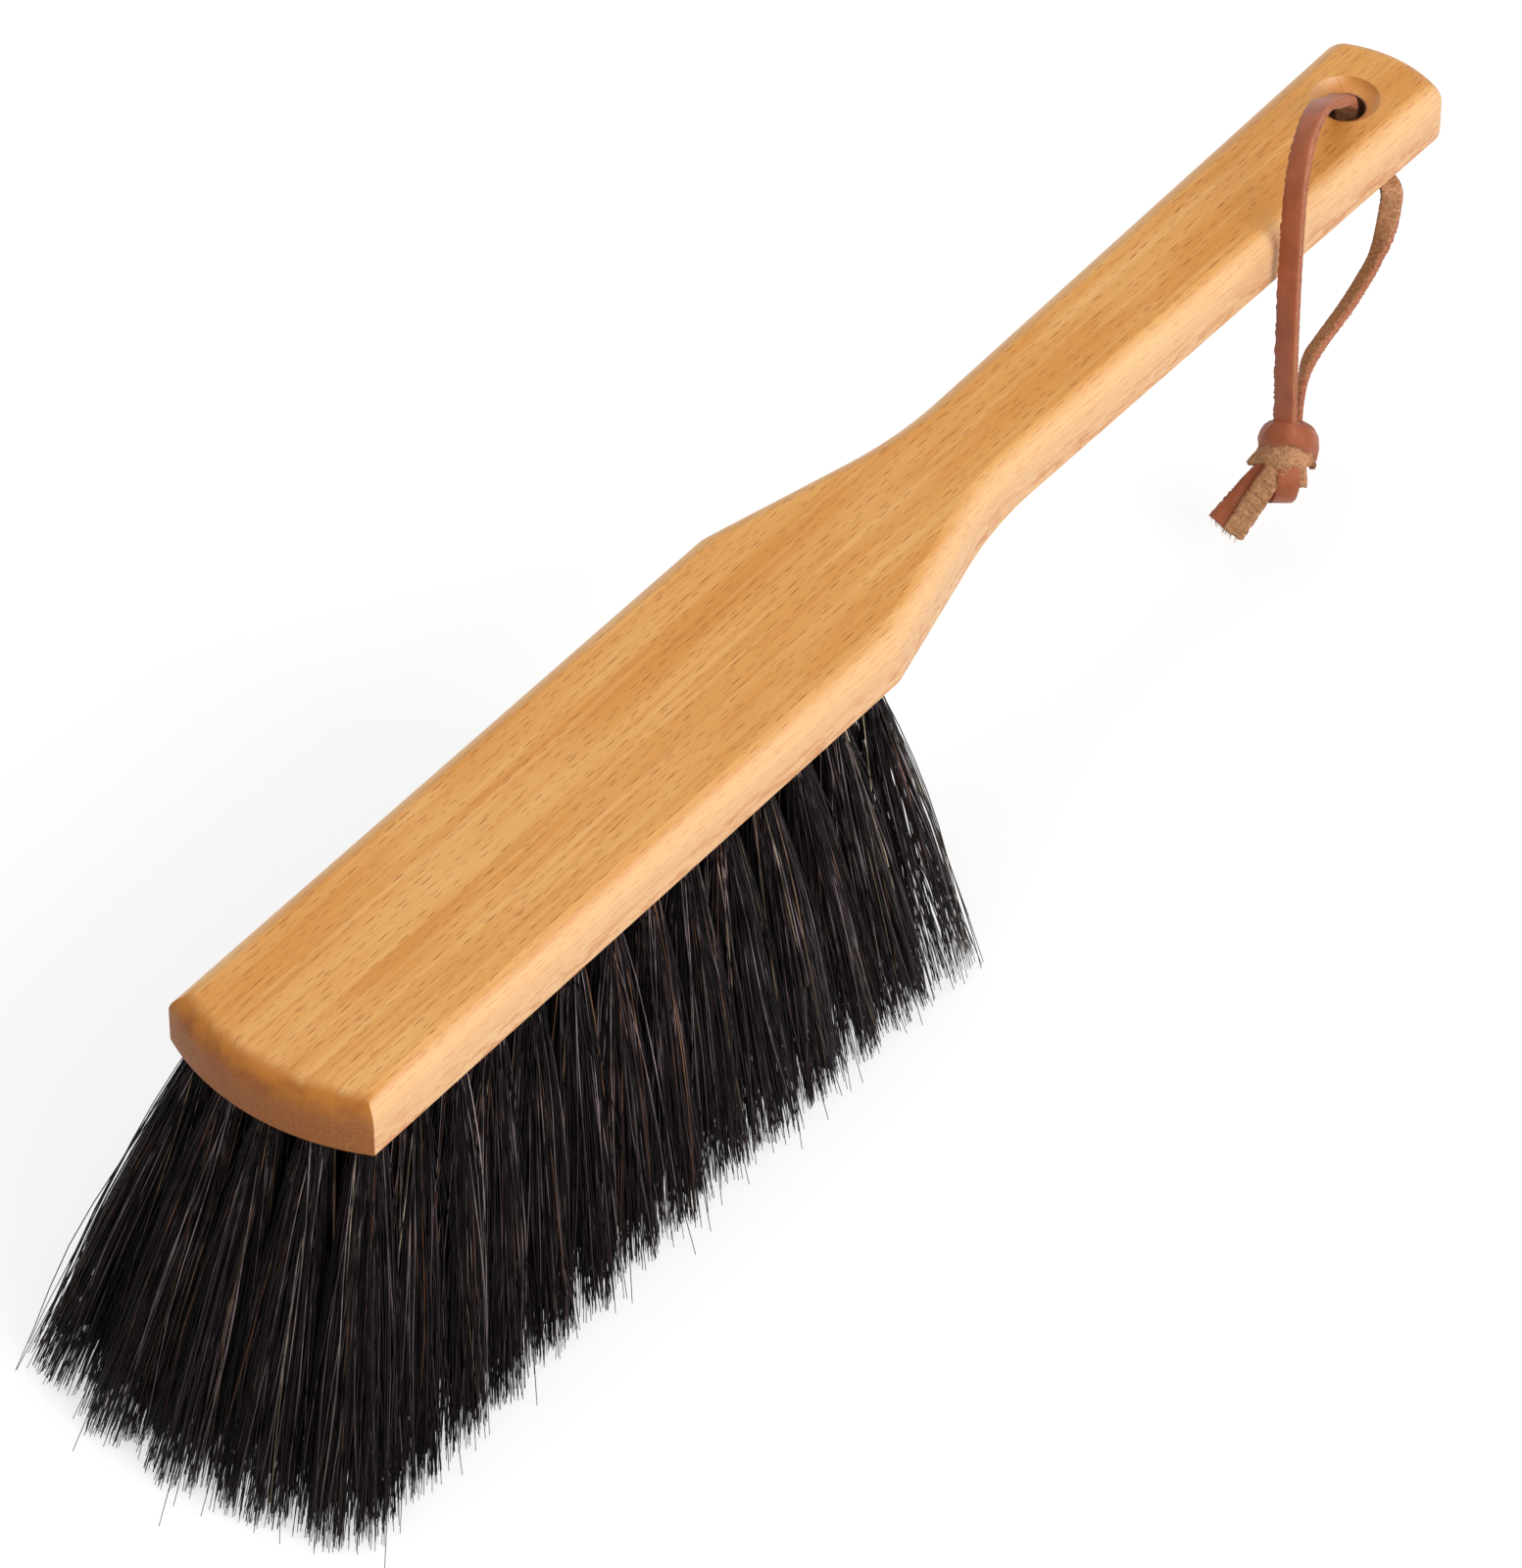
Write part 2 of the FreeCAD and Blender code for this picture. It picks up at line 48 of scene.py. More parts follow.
# Places of part.py that the pieces here share, in millimetres
NEAR_END = -155.53
WOOD_BOTTOM = 68.0
HOLE_AXIS = (165.67, 0.0)
FIRST_ROW = 5.0
LAST_ROW = 146.0
FIRST_ROW_BOW = 4.0
SIDE_COLUMN = 18.0
# Where the hair's tips stand, along the broom and out to its sides
NEAR_TIPS = -21.5
FAR_TIPS = 152.5
NEAR_SIDE_TIPS = 31.0
FAR_SIDE_TIPS = 29.0
SIDE_TIPS_DIP = 2.6
TIPS_LEAN = -0.8
TIPS_BOW = 5.5

# The thong's route, from the hanging hole's axis and the wood's underside
UPPER_STRAND = (
    (2.1, 0.8, 4.0), (2.1, 0.8, 11.0), (-9.6, -3.6, 19.2), (-20.4, -7.8, 28.2),
    (-31.0, -12.0, 30.5), (-38.4, -15.2, 24.6), (-40.2, -16.1, 11.0), (-41.3, -16.8, -6.0),
    (-41.0, -16.8, -20.0), (-39.9, -16.4, -29.5), (-39.8, -16.3, -35.0),
)
LOWER_STRAND = (
    (2.1, 0.8, 4.0), (2.1, 0.8, -2.4), (1.0, -6.0, -2.6), (-0.9, -11.8, -2.4),
    (-1.5, -12.9, -4.4), (-1.6, -12.6, -8.4), (-3.0, -12.7, -13.2), (-6.2, -13.0, -17.2),
    (-11.4, -13.4, -19.8), (-17.0, -13.8, -21.8), (-23.8, -14.4, -23.0), (-31.4, -15.2, -24.2),
    (-34.6, -16.0, -29.5), (-35.4, -16.4, -35.0),
)
KNOT_MIDDLE = (-38.2, -15.9, -45.0)
THONG_WIDTH = 4.5
THONG_THICKNESS = 2.0
STRETCHED_WIDTH = 4.2
STRETCHED_THICKNESS = 1.4


def from_hole(point):
    """A point of the thong's route in the part's frame."""
    return Vector((HOLE_AXIS[0] + point[0], HOLE_AXIS[1] + point[1], WOOD_BOTTOM + point[2])) * MM


def link_object(name, data):
    piece = bpy.data.objects.new(name, data)
    bpy.context.scene.collection.objects.link(piece)
    return piece


def as_object(name, build):
    bmesh.ops.recalc_face_normals(build, faces=build.faces)
    mesh = bpy.data.meshes.new(name)
    build.to_mesh(mesh)
    build.free()
    return link_object(name, mesh)


def skin(build, rings, finish=lambda step, k: 0, cap=0):
    """Joins rings of points into a closed skin; finish and cap give the faces' materials."""
    for step, (first, second) in enumerate(zip(rings, rings[1:])):
        for k in range(len(first)):
            after = (k + 1) % len(first)
            face = build.faces.new((first[k], second[k], second[after], first[after]))
            face.material_index = finish(step, k)
            face.smooth = True
    for ring in (rings[0], rings[-1][::-1]):
        build.faces.new(ring).material_index = cap


# Node helpers


def feed(socket, value):
    """Links a socket to another, or gives it a plain value."""
    if isinstance(value, bpy.types.NodeSocket):
        socket.id_data.links.new(value, socket)
    else:
        socket.default_value = value


def add(tree, kind, inputs=None, **settings):
    """A new node; a kind without Node in its name is a shader node's."""
    item = tree.nodes.new(kind if "Node" in kind else "ShaderNode" + kind)
    for key, value in settings.items():
        setattr(item, key, value)
    for key, value in (inputs or {}).items():
        feed(item.inputs[key], value)
    return item


def out(tree, kind, inputs=None, **settings):
    """The first output of a new node."""
    return add(tree, kind, inputs, **settings).outputs[0]


def tree_of(values):
    """The node tree that the first socket among some values is in."""
    return next(value.id_data for value in values if isinstance(value, bpy.types.NodeSocket))


def calc(operation, *values):
    return out(tree_of(values), "Math", dict(enumerate(values)), operation=operation)


def times(first, second):
    return calc("MULTIPLY", first, second)


def linear(value, slope, base):
    return calc("MULTIPLY_ADD", value, slope, base)


def vector_calc(operation, *values):
    item = add(tree_of(values), "VectorMath", dict(enumerate(values)), operation=operation)
    return item.outputs["Value" if operation == "LENGTH" else "Vector"]


def scaled(vector, factor):
    return out(vector.id_data, "VectorMath", {"Vector": vector, "Scale": factor}, operation="SCALE")


def split(vector):
    return add(vector.id_data, "SeparateXYZ", {"Vector": vector}).outputs


def fade(value, low, high):
    """0 below low, 1 above high, smooth between."""
    return out(value.id_data, "MapRange", {"Value": value, "From Min": low, "From Max": high},
               interpolation_type="SMOOTHSTEP")


def zone(distance, edges):
    """A mask that starts at the first of two distances in millimetres and is full at the second."""
    return fade(distance, edges[0] * MM, edges[1] * MM)


def srgb(*levels):
    """A colour written as it looks, 0 to 255, in the shader's linear values."""
    shares = (level / 255 for level in levels)
    return (*(share / 12.92 if share <= 0.04045 else ((share + 0.055) / 1.055) ** 2.4
              for share in shares), 1.0)


def mixed(share, first, second):
    """A mix of two tones, each a socket or a colour as it looks."""
    item = add(share.id_data, "Mix", {"Factor": share}, data_type="RGBA")
    for place, tone in ((6, first), (7, second)):
        feed(item.inputs[place], srgb(*tone) if isinstance(tone, tuple) else tone)
    return item.outputs[2]


# Camera, light and floor

CAMERA_EYE = Vector((-1.05365, -0.7996, 1.3039))
CAMERA_TARGET = Vector((-0.04155, -0.01905, 0.068))
CAMERA_LENS = 228.13
SENSOR_HEIGHT = 36.0
# Each lamp's name, place, watts and breadth
LAMPS = (
    ("KeyLight", Vector((-0.25, -2.05, 1.05)), 37.5, 1.8),
    ("TopLight", Vector((0.3, 0.4, 1.9)), 8.0, 1.2),
)
LAMP_TARGET = Vector((0.0, 0.0, 0.05))
AMBIENT = 0.5
WHITE = (1, 1, 1, 1)
FLOOR_GREY = (0.5, 0.5, 0.5, 1)
FLOOR_DROP = 0.0004
FLOOR_REACH = 6.0
FLOOR_GLOW = 0.62


def aim(name, data, place, target):
    """An object at a place, turned to look at a target."""
    item = link_object(name, data)
    item.location = place
    item.rotation_euler = (target - place).to_track_quat("-Z", "Y").to_euler()
    return item


def make_camera():
    data = bpy.data.cameras.new("PhotoCamera")
    data.sensor_fit = "VERTICAL"
    data.sensor_height = SENSOR_HEIGHT
    data.lens = CAMERA_LENS
    bpy.context.scene.camera = aim("PhotoCamera", data, CAMERA_EYE, CAMERA_TARGET)


def make_softbox(name, place, watts, breadth):
    data = bpy.data.lights.new(name, "AREA")
    data.energy = watts
    data.size = breadth
    aim(name, data, place, LAMP_TARGET)


def seen_directly(tree):
    """1 for rays that show the background: straight from the camera, in a reflection or through glass."""
    path = add(tree, "LightPath")
    shown = calc("MAXIMUM", path.outputs["Is Camera Ray"], path.outputs["Is Glossy Ray"])
    return calc("MAXIMUM", shown, path.outputs["Is Transmission Ray"])


def make_world():
    world = bpy.data.worlds.new("Studio")
    world.use_nodes = True
    tree = world.node_tree
    tree.nodes.clear()
    strength = calc("MAXIMUM", seen_directly(tree), AMBIENT)
    background = out(tree, "Background", {"Color": WHITE, "Strength": strength})
    add(tree, "OutputWorld", {"Surface": background})
    bpy.context.scene.world = world


def make_floor():
    mesh = bpy.data.meshes.new("Floor")
    corners = [(x * FLOOR_REACH, y * FLOOR_REACH, -FLOOR_DROP)
               for x, y in ((-1, -1), (1, -1), (1, 1), (-1, 1))]
    mesh.from_pydata(corners, [], [(0, 1, 2, 3)])
    floor = link_object("Floor", mesh)
    material = bpy.data.materials.new("PaleFloor")
    material.use_nodes = True
    tree = material.node_tree
    tree.nodes.clear()
    paper = out(tree, "BsdfDiffuse", {"Color": FLOOR_GREY})
    strength = times(seen_directly(tree), FLOOR_GLOW)
    glow = out(tree, "Emission", {"Color": WHITE, "Strength": strength})
    both = out(tree, "AddShader", {0: paper, 1: glow})
    add(tree, "OutputMaterial", {"Surface": both})
    mesh.materials.append(material)


# Materials

# Textures: stretch along each axis, detail, roughness, and the levels where the mask starts and is full
FIGURE = ((5, 90, 90), 2.0, 0.5, 0.35, 0.65)
DARK_STREAKS = ((13, 640, 640), 3.0, 0.6, 0.48, 0.68)
PALE_STREAKS = ((15, 500, 500), 3.0, 0.6, 0.5, 0.7)
FIBRES = ((60, 3000, 3000), 2.0, 0.5, 0.46, 0.7)
CLOUDS = ((26, 110, 110), 3.0, 0.5, 0.48, 0.7)
BLUSH_PATCHES = ((160, 500, 900), 4.0, 0.7, 0.46, 0.6)
END_PORES = ((900, 1700, 2600), 3.0, 0.5, 0.42, 0.62)
END_RINGS = ((30, 120, 500), 2.0, 0.5, 0.45, 0.7)
OIL = ((110, 160, 160), 3.0, 0.5, 0.35, 0.65)
# Painted highlights: patches along the hairs where their own tone shows
PAINTED_HAIR_HIGHLIGHTS = ((150, 150, 70), 3.0, 0.6, 0.4, 0.62)
DYE = ((160, 160, 160), 3.0, 0.5, 0.35, 0.65)
WEAR = ((700, 700, 700), 3.0, 0.5, 0.55, 0.75)
NAP = ((1500, 1500, 1500), 5.0, 0.7, 0.38, 0.66)
FUZZ = ((3200, 3200, 3200), 4.0, 0.6, 0.4, 0.6)
DRAWN_WIRE = ((300, 6000, 6000), 2.0, 0.5, 0.4, 0.6)
# Specks: stretch, size, and the share of the cells that hold one
GRAIN_SPECKS = ((900, 900, 500), 0.28, 0.05)
FLESH_SPECKS = ((1500, 1500, 1500), 0.34, 0.1)
LEATHER_PORES = (3600, 3600, 3600)
# The beech's rays: pitch along and across, half length, half width, share of the cells, and shift
LONG_RAYS = ((4.4, 1.5), 1.9, 0.13, 0.95, 0.0)
SHORT_RAYS = ((5.2, 1.9), 1.4, 0.11, 0.5, 37.5)
RAY_SCATTER = 0.8
RAY_FADE = 0.02
# A ray's size and its depth of tone, each a random part and a least, and its soft outline
RAY_SIZE = (0.7, 0.5)
RAY_DEPTH = (0.6, 0.4)
RAY_OUTLINE = (1.0, 0.45)
# Bump: strength, and height in metres
FIBRE_BUMP = (0.2, 0.00005)
PORE_BUMP = (0.12, 0.00008)
FUZZ_HEIGHT = 0.0003
CUT_FUZZ = 0.4
FLESH_FUZZ = 0.7
# Roughness: what the texture adds, and the least
BEECH_ROUGHNESS = (0.16, 0.38)
END_ROUGHNESS = 0.12
GRAIN_ROUGHNESS = (0.2, 0.34)
WIRE_ROUGHNESS = (0.2, 0.25)
# Colours as they look, 0 to 255: pairs for a texture's low and high, or for the top and the sides
FIGURE_TONES = ((216, 146, 66), (230, 170, 94))
SIDE_TONE = (244, 197, 147)
RAY_TONES = ((152, 82, 28), (204, 122, 70))
END_TONES = ((168, 104, 54), (148, 86, 40))
AMBER_TONES = ((190, 116, 38), (150, 80, 14))
GRAIN_TONES = ((162, 88, 56), (178, 100, 68))
CUT_TONES = ((196, 130, 100), (162, 98, 72))
FLESH_TONES = ((222, 168, 124), (182, 126, 88))
WIRE_TONES = ((150, 150, 152), (196, 196, 198))
# Painted shade that the hairs darken to outside their lit patches and towards the tips
PAINTED_HAIR_SHADE = (20, 13, 17)
# Each hair's tone: mostly dark, with light grey hairs that are painted highlights, and a few real brown and
# pale hairs
HAIR_TONES = (
    (0.0, (10, 6, 8)), (0.5, (25, 16, 20)), (0.74, (72, 56, 61)), (0.9, (182, 164, 162)),
    (0.96, (104, 66, 50)), (0.986, (146, 106, 76)), (1.0, (255, 236, 196)),
)
# Tones laid over another: how strongly, and the colour
LAID = {
    DARK_STREAKS: (0.5, (206, 130, 50)),
    PALE_STREAKS: (0.5, (241, 189, 120)),
    CLOUDS: (0.35, (238, 184, 114)),
    FIBRES: (0.25, (200, 126, 54)),
    END_RINGS: (0.6, (166, 96, 38)),
    WEAR: (0.25, (192, 118, 86)),
}
SIDE_FIBRE = (0.6, (232, 177, 124))
SIDE_CLOUD = (0.5, (246, 204, 154))
BLUSH = (0.65, (208, 128, 76))
DISH = (0.5, (204, 128, 58))
# Painted shade: near-black brown down the hanging hole's bore
PAINTED_BORE_SHADE = (0.85, (52, 32, 20))
GRAIN_SPECK = (0.6, (214, 154, 124))
FLESH_SPECK = (0.5, (112, 66, 40))
SIDE_SHARE = 0.85
AMBER_SHARE = 0.95
# The most that rays and end grain show, and how much less on the sides and up the end
MOST_SHOWN = 0.95
SIDE_RAYS_LESS = 0.25
UPPER_END_LESS = 0.45
LEAST_HAIR_TONE = 0.25
# How square to the side or the end a face is where their tones start and are full
SIDE_FACING = (0.25, 0.75)
END_FACING = (0.55, 0.95)
# Zones in millimetres: above the underside, in from the near end, round the hole, above the tips
BLUSH_ZONE = (7.5, 2.5)
UPPER_END_ZONE = (4.0, 10.0)
AMBER_ZONE = (7.2, 3.6)
AMBER_WAVER = 4.5
NEAR_ZONE = (-20.0, -30.0)
DISH_ZONE = (7.6, 5.6)
PAINTED_BORE_SHADE_ZONE = (4.5, 4.0)
# Painted light up the hairs: their own tone starts to show above the tips and is full nearer the wood
PAINTED_HAIR_LIGHT_ZONE = (5.0, 50.0)


def new_material(name, inputs):
    material = bpy.data.materials.new(name)
    material.use_nodes = True
    tree = material.node_tree
    surface = tree.nodes["Principled BSDF"]
    for key, value in inputs.items():
        feed(surface.inputs[key], value)
    return material, tree, surface.inputs


def object_place(tree):
    return add(tree, "TexCoord").outputs["Object"]


def object_point(tree, stretch):
    """Object coordinates, stretched so that a texture's cells are long or short along each axis."""
    return out(tree, "Mapping", {"Vector": object_place(tree), "Scale": stretch})


# The kind of a group's socket, by its default
SOCKETS = {int: "NodeSocketInt", float: "NodeSocketFloat", tuple: "NodeSocketVector",
           type(None): "NodeSocketGeometry"}


def make_group(name, kind, inputs, outputs):
    """A node group with named sockets, and what it is given and gives back."""
    tree = bpy.data.node_groups.new(name, kind)
    for way, sockets in (("INPUT", inputs), ("OUTPUT", outputs)):
        for label, value in sockets.items():
            socket = tree.interface.new_socket(label, in_out=way, socket_type=SOCKETS[type(value)])
            if value is not None:
                socket.default_value = value
    return tree, add(tree, "NodeGroupInput").outputs, add(tree, "NodeGroupOutput").inputs


def make_mottle():
    """Uneven tone: a level from 0 to 1, and a mask of where it passes from low to high."""
    tree, given, result = make_group("Mottle", "ShaderNodeTree", {
        "Point": (0, 0, 0), "Detail": 3.0, "Roughness": 0.5, "Low": 0.4, "High": 0.6},
        {"Level": 0.0, "Mask": 0.0})
    level = out(tree, "TexNoise", {"Vector": given["Point"], "Scale": 1.0, "Detail": given["Detail"],
                                   "Roughness": given["Roughness"]})
    feed(result["Level"], level)
    feed(result["Mask"], fade(level, given["Low"], given["High"]))
    return tree


def make_specks():
    """Dots: the middles of a share of the cells of a pattern."""
    tree, given, result = make_group("Specks", "ShaderNodeTree", {
        "Point": (0, 0, 0), "Size": 0.3, "Share": 0.1}, {"Mask": 0.0})
    cells = add(tree, "TexVoronoi", {"Vector": given["Point"], "Scale": 1.0}).outputs
    chance = add(tree, "SeparateColor", {"Color": cells["Color"]}).outputs
    kept = calc("LESS_THAN", chance["Red"], given["Share"])
    inside = fade(cells["Distance"], given["Size"], times(given["Size"], 0.5))
    feed(result["Mask"], times(kept, inside))
    return tree


MOTTLE = make_mottle()
SPECKS = make_specks()


def mottle(tree, texture):
    names = ("Point", "Detail", "Roughness", "Low", "High")
    inputs = dict(zip(names, (object_point(tree, texture[0]), *texture[1:])))
    item = add(tree, "Group", inputs, node_tree=MOTTLE)
    return item.outputs["Level"], item.outputs["Mask"]


def specks(tree, pattern):
    stretch, size, share = pattern
    inputs = {"Point": object_point(tree, stretch), "Size": size, "Share": share}
    return add(tree, "Group", inputs, node_tree=SPECKS).outputs["Mask"]


def laid(tone, mask, over):
    """A tone with another over it where the mask says."""
    most, colour = over
    return mixed(times(mask, most), tone, colour)


def textured(tone, *textures):
    """A tone with the tones of textures laid over it in turn."""
    for texture in textures:
        tone = laid(tone, mottle(tone.id_data, texture)[1], LAID[texture])
    return tone


def unrolled(tree):
    """Places on the wood's skin: along the grain, and across it over the top and down each side."""
    place = split(object_place(tree))
    across = calc("SUBTRACT", place["Z"], calc("ABSOLUTE", place["Y"]))
    far_side = calc("GREATER_THAN", place["Y"], 0.0)
    return place["X"], calc("ADD", across, far_side)


def dashes(tree, pitch, half_length, half_width, share, shift):
    """Short strokes along the grain, one in each of a share of the cells, in millimetres."""
    along, across = unrolled(tree)
    cell = out(tree, "CombineXYZ", {
        "X": linear(along, 1 / (pitch[0] * MM), shift),
        "Y": linear(across, 1 / (pitch[1] * MM), shift)})
    cells = add(tree, "TexVoronoi", {"Vector": cell, "Scale": 1.0, "Randomness": RAY_SCATTER},
                voronoi_dimensions="2D").outputs
    chance = add(tree, "SeparateColor", {"Color": cells["Color"]}).outputs
    offset = vector_calc("SUBTRACT", cell, cells["Position"])
    shape = vector_calc("MULTIPLY", offset, (pitch[0] / half_length, pitch[1] / half_width, 0.0))
    grown = linear(chance["Green"], *RAY_SIZE)
    inside = fade(calc("DIVIDE", vector_calc("LENGTH", shape), grown), *RAY_OUTLINE)
    kept = fade(chance["Red"], 1.0 - share, 1.0 - share + RAY_FADE)
    depth = linear(chance["Blue"], *RAY_DEPTH)
    return times(times(inside, kept), depth)


def bump(height, strength, distance):
    inputs = {"Height": height, "Strength": strength, "Distance": distance}
    return out(height.id_data, "Bump", inputs)


def make_beech():
    """Oiled beech, its grain along the handle."""
    material, tree, wood = new_material("OiledBeech", {"Specular IOR Level": 0.35})
    facing = split(add(tree, "TexCoord").outputs["Normal"])
    place = object_place(tree)
    height = calc("SUBTRACT", split(place)["Z"], WOOD_BOTTOM * MM)
    flat = vector_calc("MULTIPLY", place, (1, 1, 0))
    tone = mixed(mottle(tree, FIGURE)[1], *FIGURE_TONES)
    tone = textured(tone, DARK_STREAKS, PALE_STREAKS, CLOUDS, FIBRES)

    # The sides are cut across the rays: paler, with a red blush low down
    on_side = fade(calc("ABSOLUTE", facing["Y"]), *SIDE_FACING)
    fibres, fine = mottle(tree, FIBRES)
    side_tone = laid(SIDE_TONE, fine, SIDE_FIBRE)
    side_tone = laid(side_tone, mottle(tree, CLOUDS)[1], SIDE_CLOUD)
    tone = mixed(times(on_side, SIDE_SHARE), tone, side_tone)
    low_patches = times(zone(height, BLUSH_ZONE), mottle(tree, BLUSH_PATCHES)[1])
    tone = laid(tone, times(on_side, low_patches), BLUSH)

    # The rays of beech: fine dark strokes on the top, softer and redder ones on the sides
    rays = calc("MAXIMUM", dashes(tree, *LONG_RAYS), dashes(tree, *SHORT_RAYS))
    rays = times(rays, linear(on_side, -SIDE_RAYS_LESS, MOST_SHOWN))
    tone = mixed(rays, tone, mixed(on_side, *RAY_TONES))

    # The near end's hand-rounded edge is amber, and fades into the top and into the end
    from_middle = vector_calc("SUBTRACT", flat, ((NEAR_END + NEAR_MIDDLE) * MM, 0.0, 0.0))
    waver, soaked = mottle(tree, OIL)
    inset = calc("SUBTRACT", NEAR_RADIUS * MM, vector_calc("LENGTH", from_middle))
    inset = linear(waver, AMBER_WAVER * MM, inset)
    near = zone(split(from_middle)["X"], NEAR_ZONE)
    rounded = times(zone(inset, AMBER_ZONE), near)
    rounded = times(rounded, calc("SUBTRACT", 1.0, on_side))
    tone = mixed(times(rounded, AMBER_SHARE), tone, mixed(soaked, *AMBER_TONES))

    # End grain soaks up more oil
    at_end = fade(calc("ABSOLUTE", facing["X"]), *END_FACING)
    end_tone = mixed(mottle(tree, END_PORES)[1], *END_TONES)
    end_tone = textured(end_tone, END_RINGS)
    upper_end = zone(height, UPPER_END_ZONE)
    end_share = linear(upper_end, -UPPER_END_LESS, MOST_SHOWN)
    tone = mixed(times(at_end, end_share), tone, end_tone)

    # The hanging hole: a darker orange tint round its dish, and painted shade, near-black brown, down its
    # bore
    axis = (HOLE_AXIS[0] * MM, HOLE_AXIS[1] * MM, 0.0)
    from_axis = vector_calc("LENGTH", vector_calc("SUBTRACT", flat, axis))
    tone = laid(tone, zone(from_axis, DISH_ZONE), DISH)
    tone = laid(tone, zone(from_axis, PAINTED_BORE_SHADE_ZONE), PAINTED_BORE_SHADE)

    feed(wood["Base Color"], tone)
    rough = linear(mottle(tree, DARK_STREAKS)[0], *BEECH_ROUGHNESS)
    feed(wood["Roughness"], linear(at_end, END_ROUGHNESS, rough))
    feed(wood["Normal"], bump(fibres, *FIBRE_BUMP))
    return material


def make_horsehair():
    """Dark horsehair with a few brown and pale hairs, by each hair's own tone, and light grey hairs as
    painted highlights; each hair's tone shows in patches and nearer the wood, and darkens to painted shade
    elsewhere.
    """
    material, tree, hair = new_material("Horsehair", {"Roughness": 0.35, "Specular IOR Level": 0.15})
    own_tone = add(tree, "Attribute", attribute_name="hair_tone").outputs["Fac"]
    ramp = add(tree, "ValToRGB", {"Fac": own_tone})
    elements = ramp.color_ramp.elements
    while len(elements) < len(HAIR_TONES):
        elements.new(0.5)
    for element, (position, colour) in zip(elements, HAIR_TONES):
        element.position = position
        element.color = srgb(*colour)
    height = split(object_place(tree))["Z"]
    # Painted highlight and shade: each hair's tone shows in patches and higher up towards the wood, and
    # elsewhere darkens to painted shade
    shown = times(mottle(tree, PAINTED_HAIR_HIGHLIGHTS)[1], zone(height, PAINTED_HAIR_LIGHT_ZONE))
    shown = linear(shown, 1.0 - LEAST_HAIR_TONE, LEAST_HAIR_TONE)
    feed(hair["Base Color"], mixed(shown, PAINTED_HAIR_SHADE, ramp.outputs["Color"]))
    return material


def make_grain_leather():
    """The thong's smooth dyed face."""
    material, tree, leather = new_material("GrainLeather", {"Specular IOR Level": 0.25})
    level, cloud = mottle(tree, DYE)
    tone = mixed(cloud, *GRAIN_TONES)
    tone = textured(tone, WEAR)
    feed(leather["Base Color"], laid(tone, specks(tree, GRAIN_SPECKS), GRAIN_SPECK))
    feed(leather["Roughness"], linear(level, *GRAIN_ROUGHNESS))
    pores = add(tree, "TexVoronoi", {"Vector": object_point(tree, LEATHER_PORES), "Scale": 1.0})
    feed(leather["Normal"], bump(pores.outputs["Distance"], *PORE_BUMP))
    return material


def make_flesh_leather(name, tones, depth):
    """Undyed leather: the thong's rough back, or its cut edge."""
    material, tree, leather = new_material(name, {"Roughness": 0.9, "Specular IOR Level": 0.15})
    tone = mixed(mottle(tree, NAP)[1], *tones)
    feed(leather["Base Color"], laid(tone, specks(tree, FLESH_SPECKS), FLESH_SPECK))
    feed(leather["Normal"], bump(mottle(tree, FUZZ)[0], depth, FUZZ_HEIGHT))
    return material


def make_anchor_wire():
    """Drawn steel wire."""
    material, tree, steel = new_material("AnchorWire", {"Metallic": 1.0})
    drawn, _ = mottle(tree, DRAWN_WIRE)
    feed(steel["Base Color"], mixed(drawn, *WIRE_TONES))
    feed(steel["Roughness"], linear(drawn, *WIRE_ROUGHNESS))
    return material


# Beech back and handle

# Seen from above, in millimetres from the near corners
BLOCK_HALF = 23.0
BLOCK_LENGTH = 150.0
NEAR_RADIUS = 50.0
NEAR_MIDDLE = sqrt(NEAR_RADIUS ** 2 - BLOCK_HALF ** 2)
NECK = Vector((206.0, 11.7))
NECK_RADIUS = 90.0
HANDLE_END = Vector((336.0, 13.3))
END_RADIUS = 26.0
SHOULDER_ROUND = 8.0
CORNER_ROUND = 4.5
# Points on each stretch of the outline, from the near end to the handle's end
NEAR_STEPS, SIDE_STEPS, SHOULDER_STEPS, TAPER_STEPS = 18, 12, 6, 3
HOLLOW_STEPS, GRIP_STEPS, CORNER_STEPS, END_STEPS = 16, 8, 8, 10
# In section
WOOD_THICKNESS = 12.0
TOP_ROUND_INSET = 3.8
TOP_ROUND_DROP = 4.2
TOP_ROUND_TURN = 66.0
TOP_ROUND_STEPS = 9
# The near end is rounded over by hand, most of all just right of its middle
WORN_REACH = 11.5
WORN_INSET = 4.6
WORN_DROP = 4.6
WORN_LEAN = 0.3
WORN_WAVER = 0.14
# Waves along the worn edge: radians per millimetre, phase and height
WORN_WAVES = ((0.33, 0.7, 1.0), (0.91, 0.0, 0.5))
BOTTOM_ROUND = 0.8
BOTTOM_ROUND_STEPS = 4
# Hanging hole and tuft holes
BORE_RADIUS = 4.0
DISH_RADIUS = 6.8
DISH_DEPTH = 2.2
DISH_SAG = 0.42
TUFT_HOLE_RADIUS = 2.5
TUFT_HOLE_DEPTH = 8.0
CUT_PAST = 3.0
DISH_STEPS = 6
HOLE_SEGMENTS = 56
TUFT_HOLE_SEGMENTS = 14
SHARP_ANGLE = radians(32)
RIM_ANGLE = radians(8)
RIM_DEPTH = 0.01


def arc_points(centre, radius, start, stop, count):
    """Points on an arc, without the last one."""
    for i in range(count):
        turn = start + (stop - start) * i / count
        yield Vector((centre[0] + radius * cos(turn), centre[1] + radius * sin(turn)))


def line_points(start, stop, count):
    for i in range(count):
        yield start.lerp(stop, i / count)


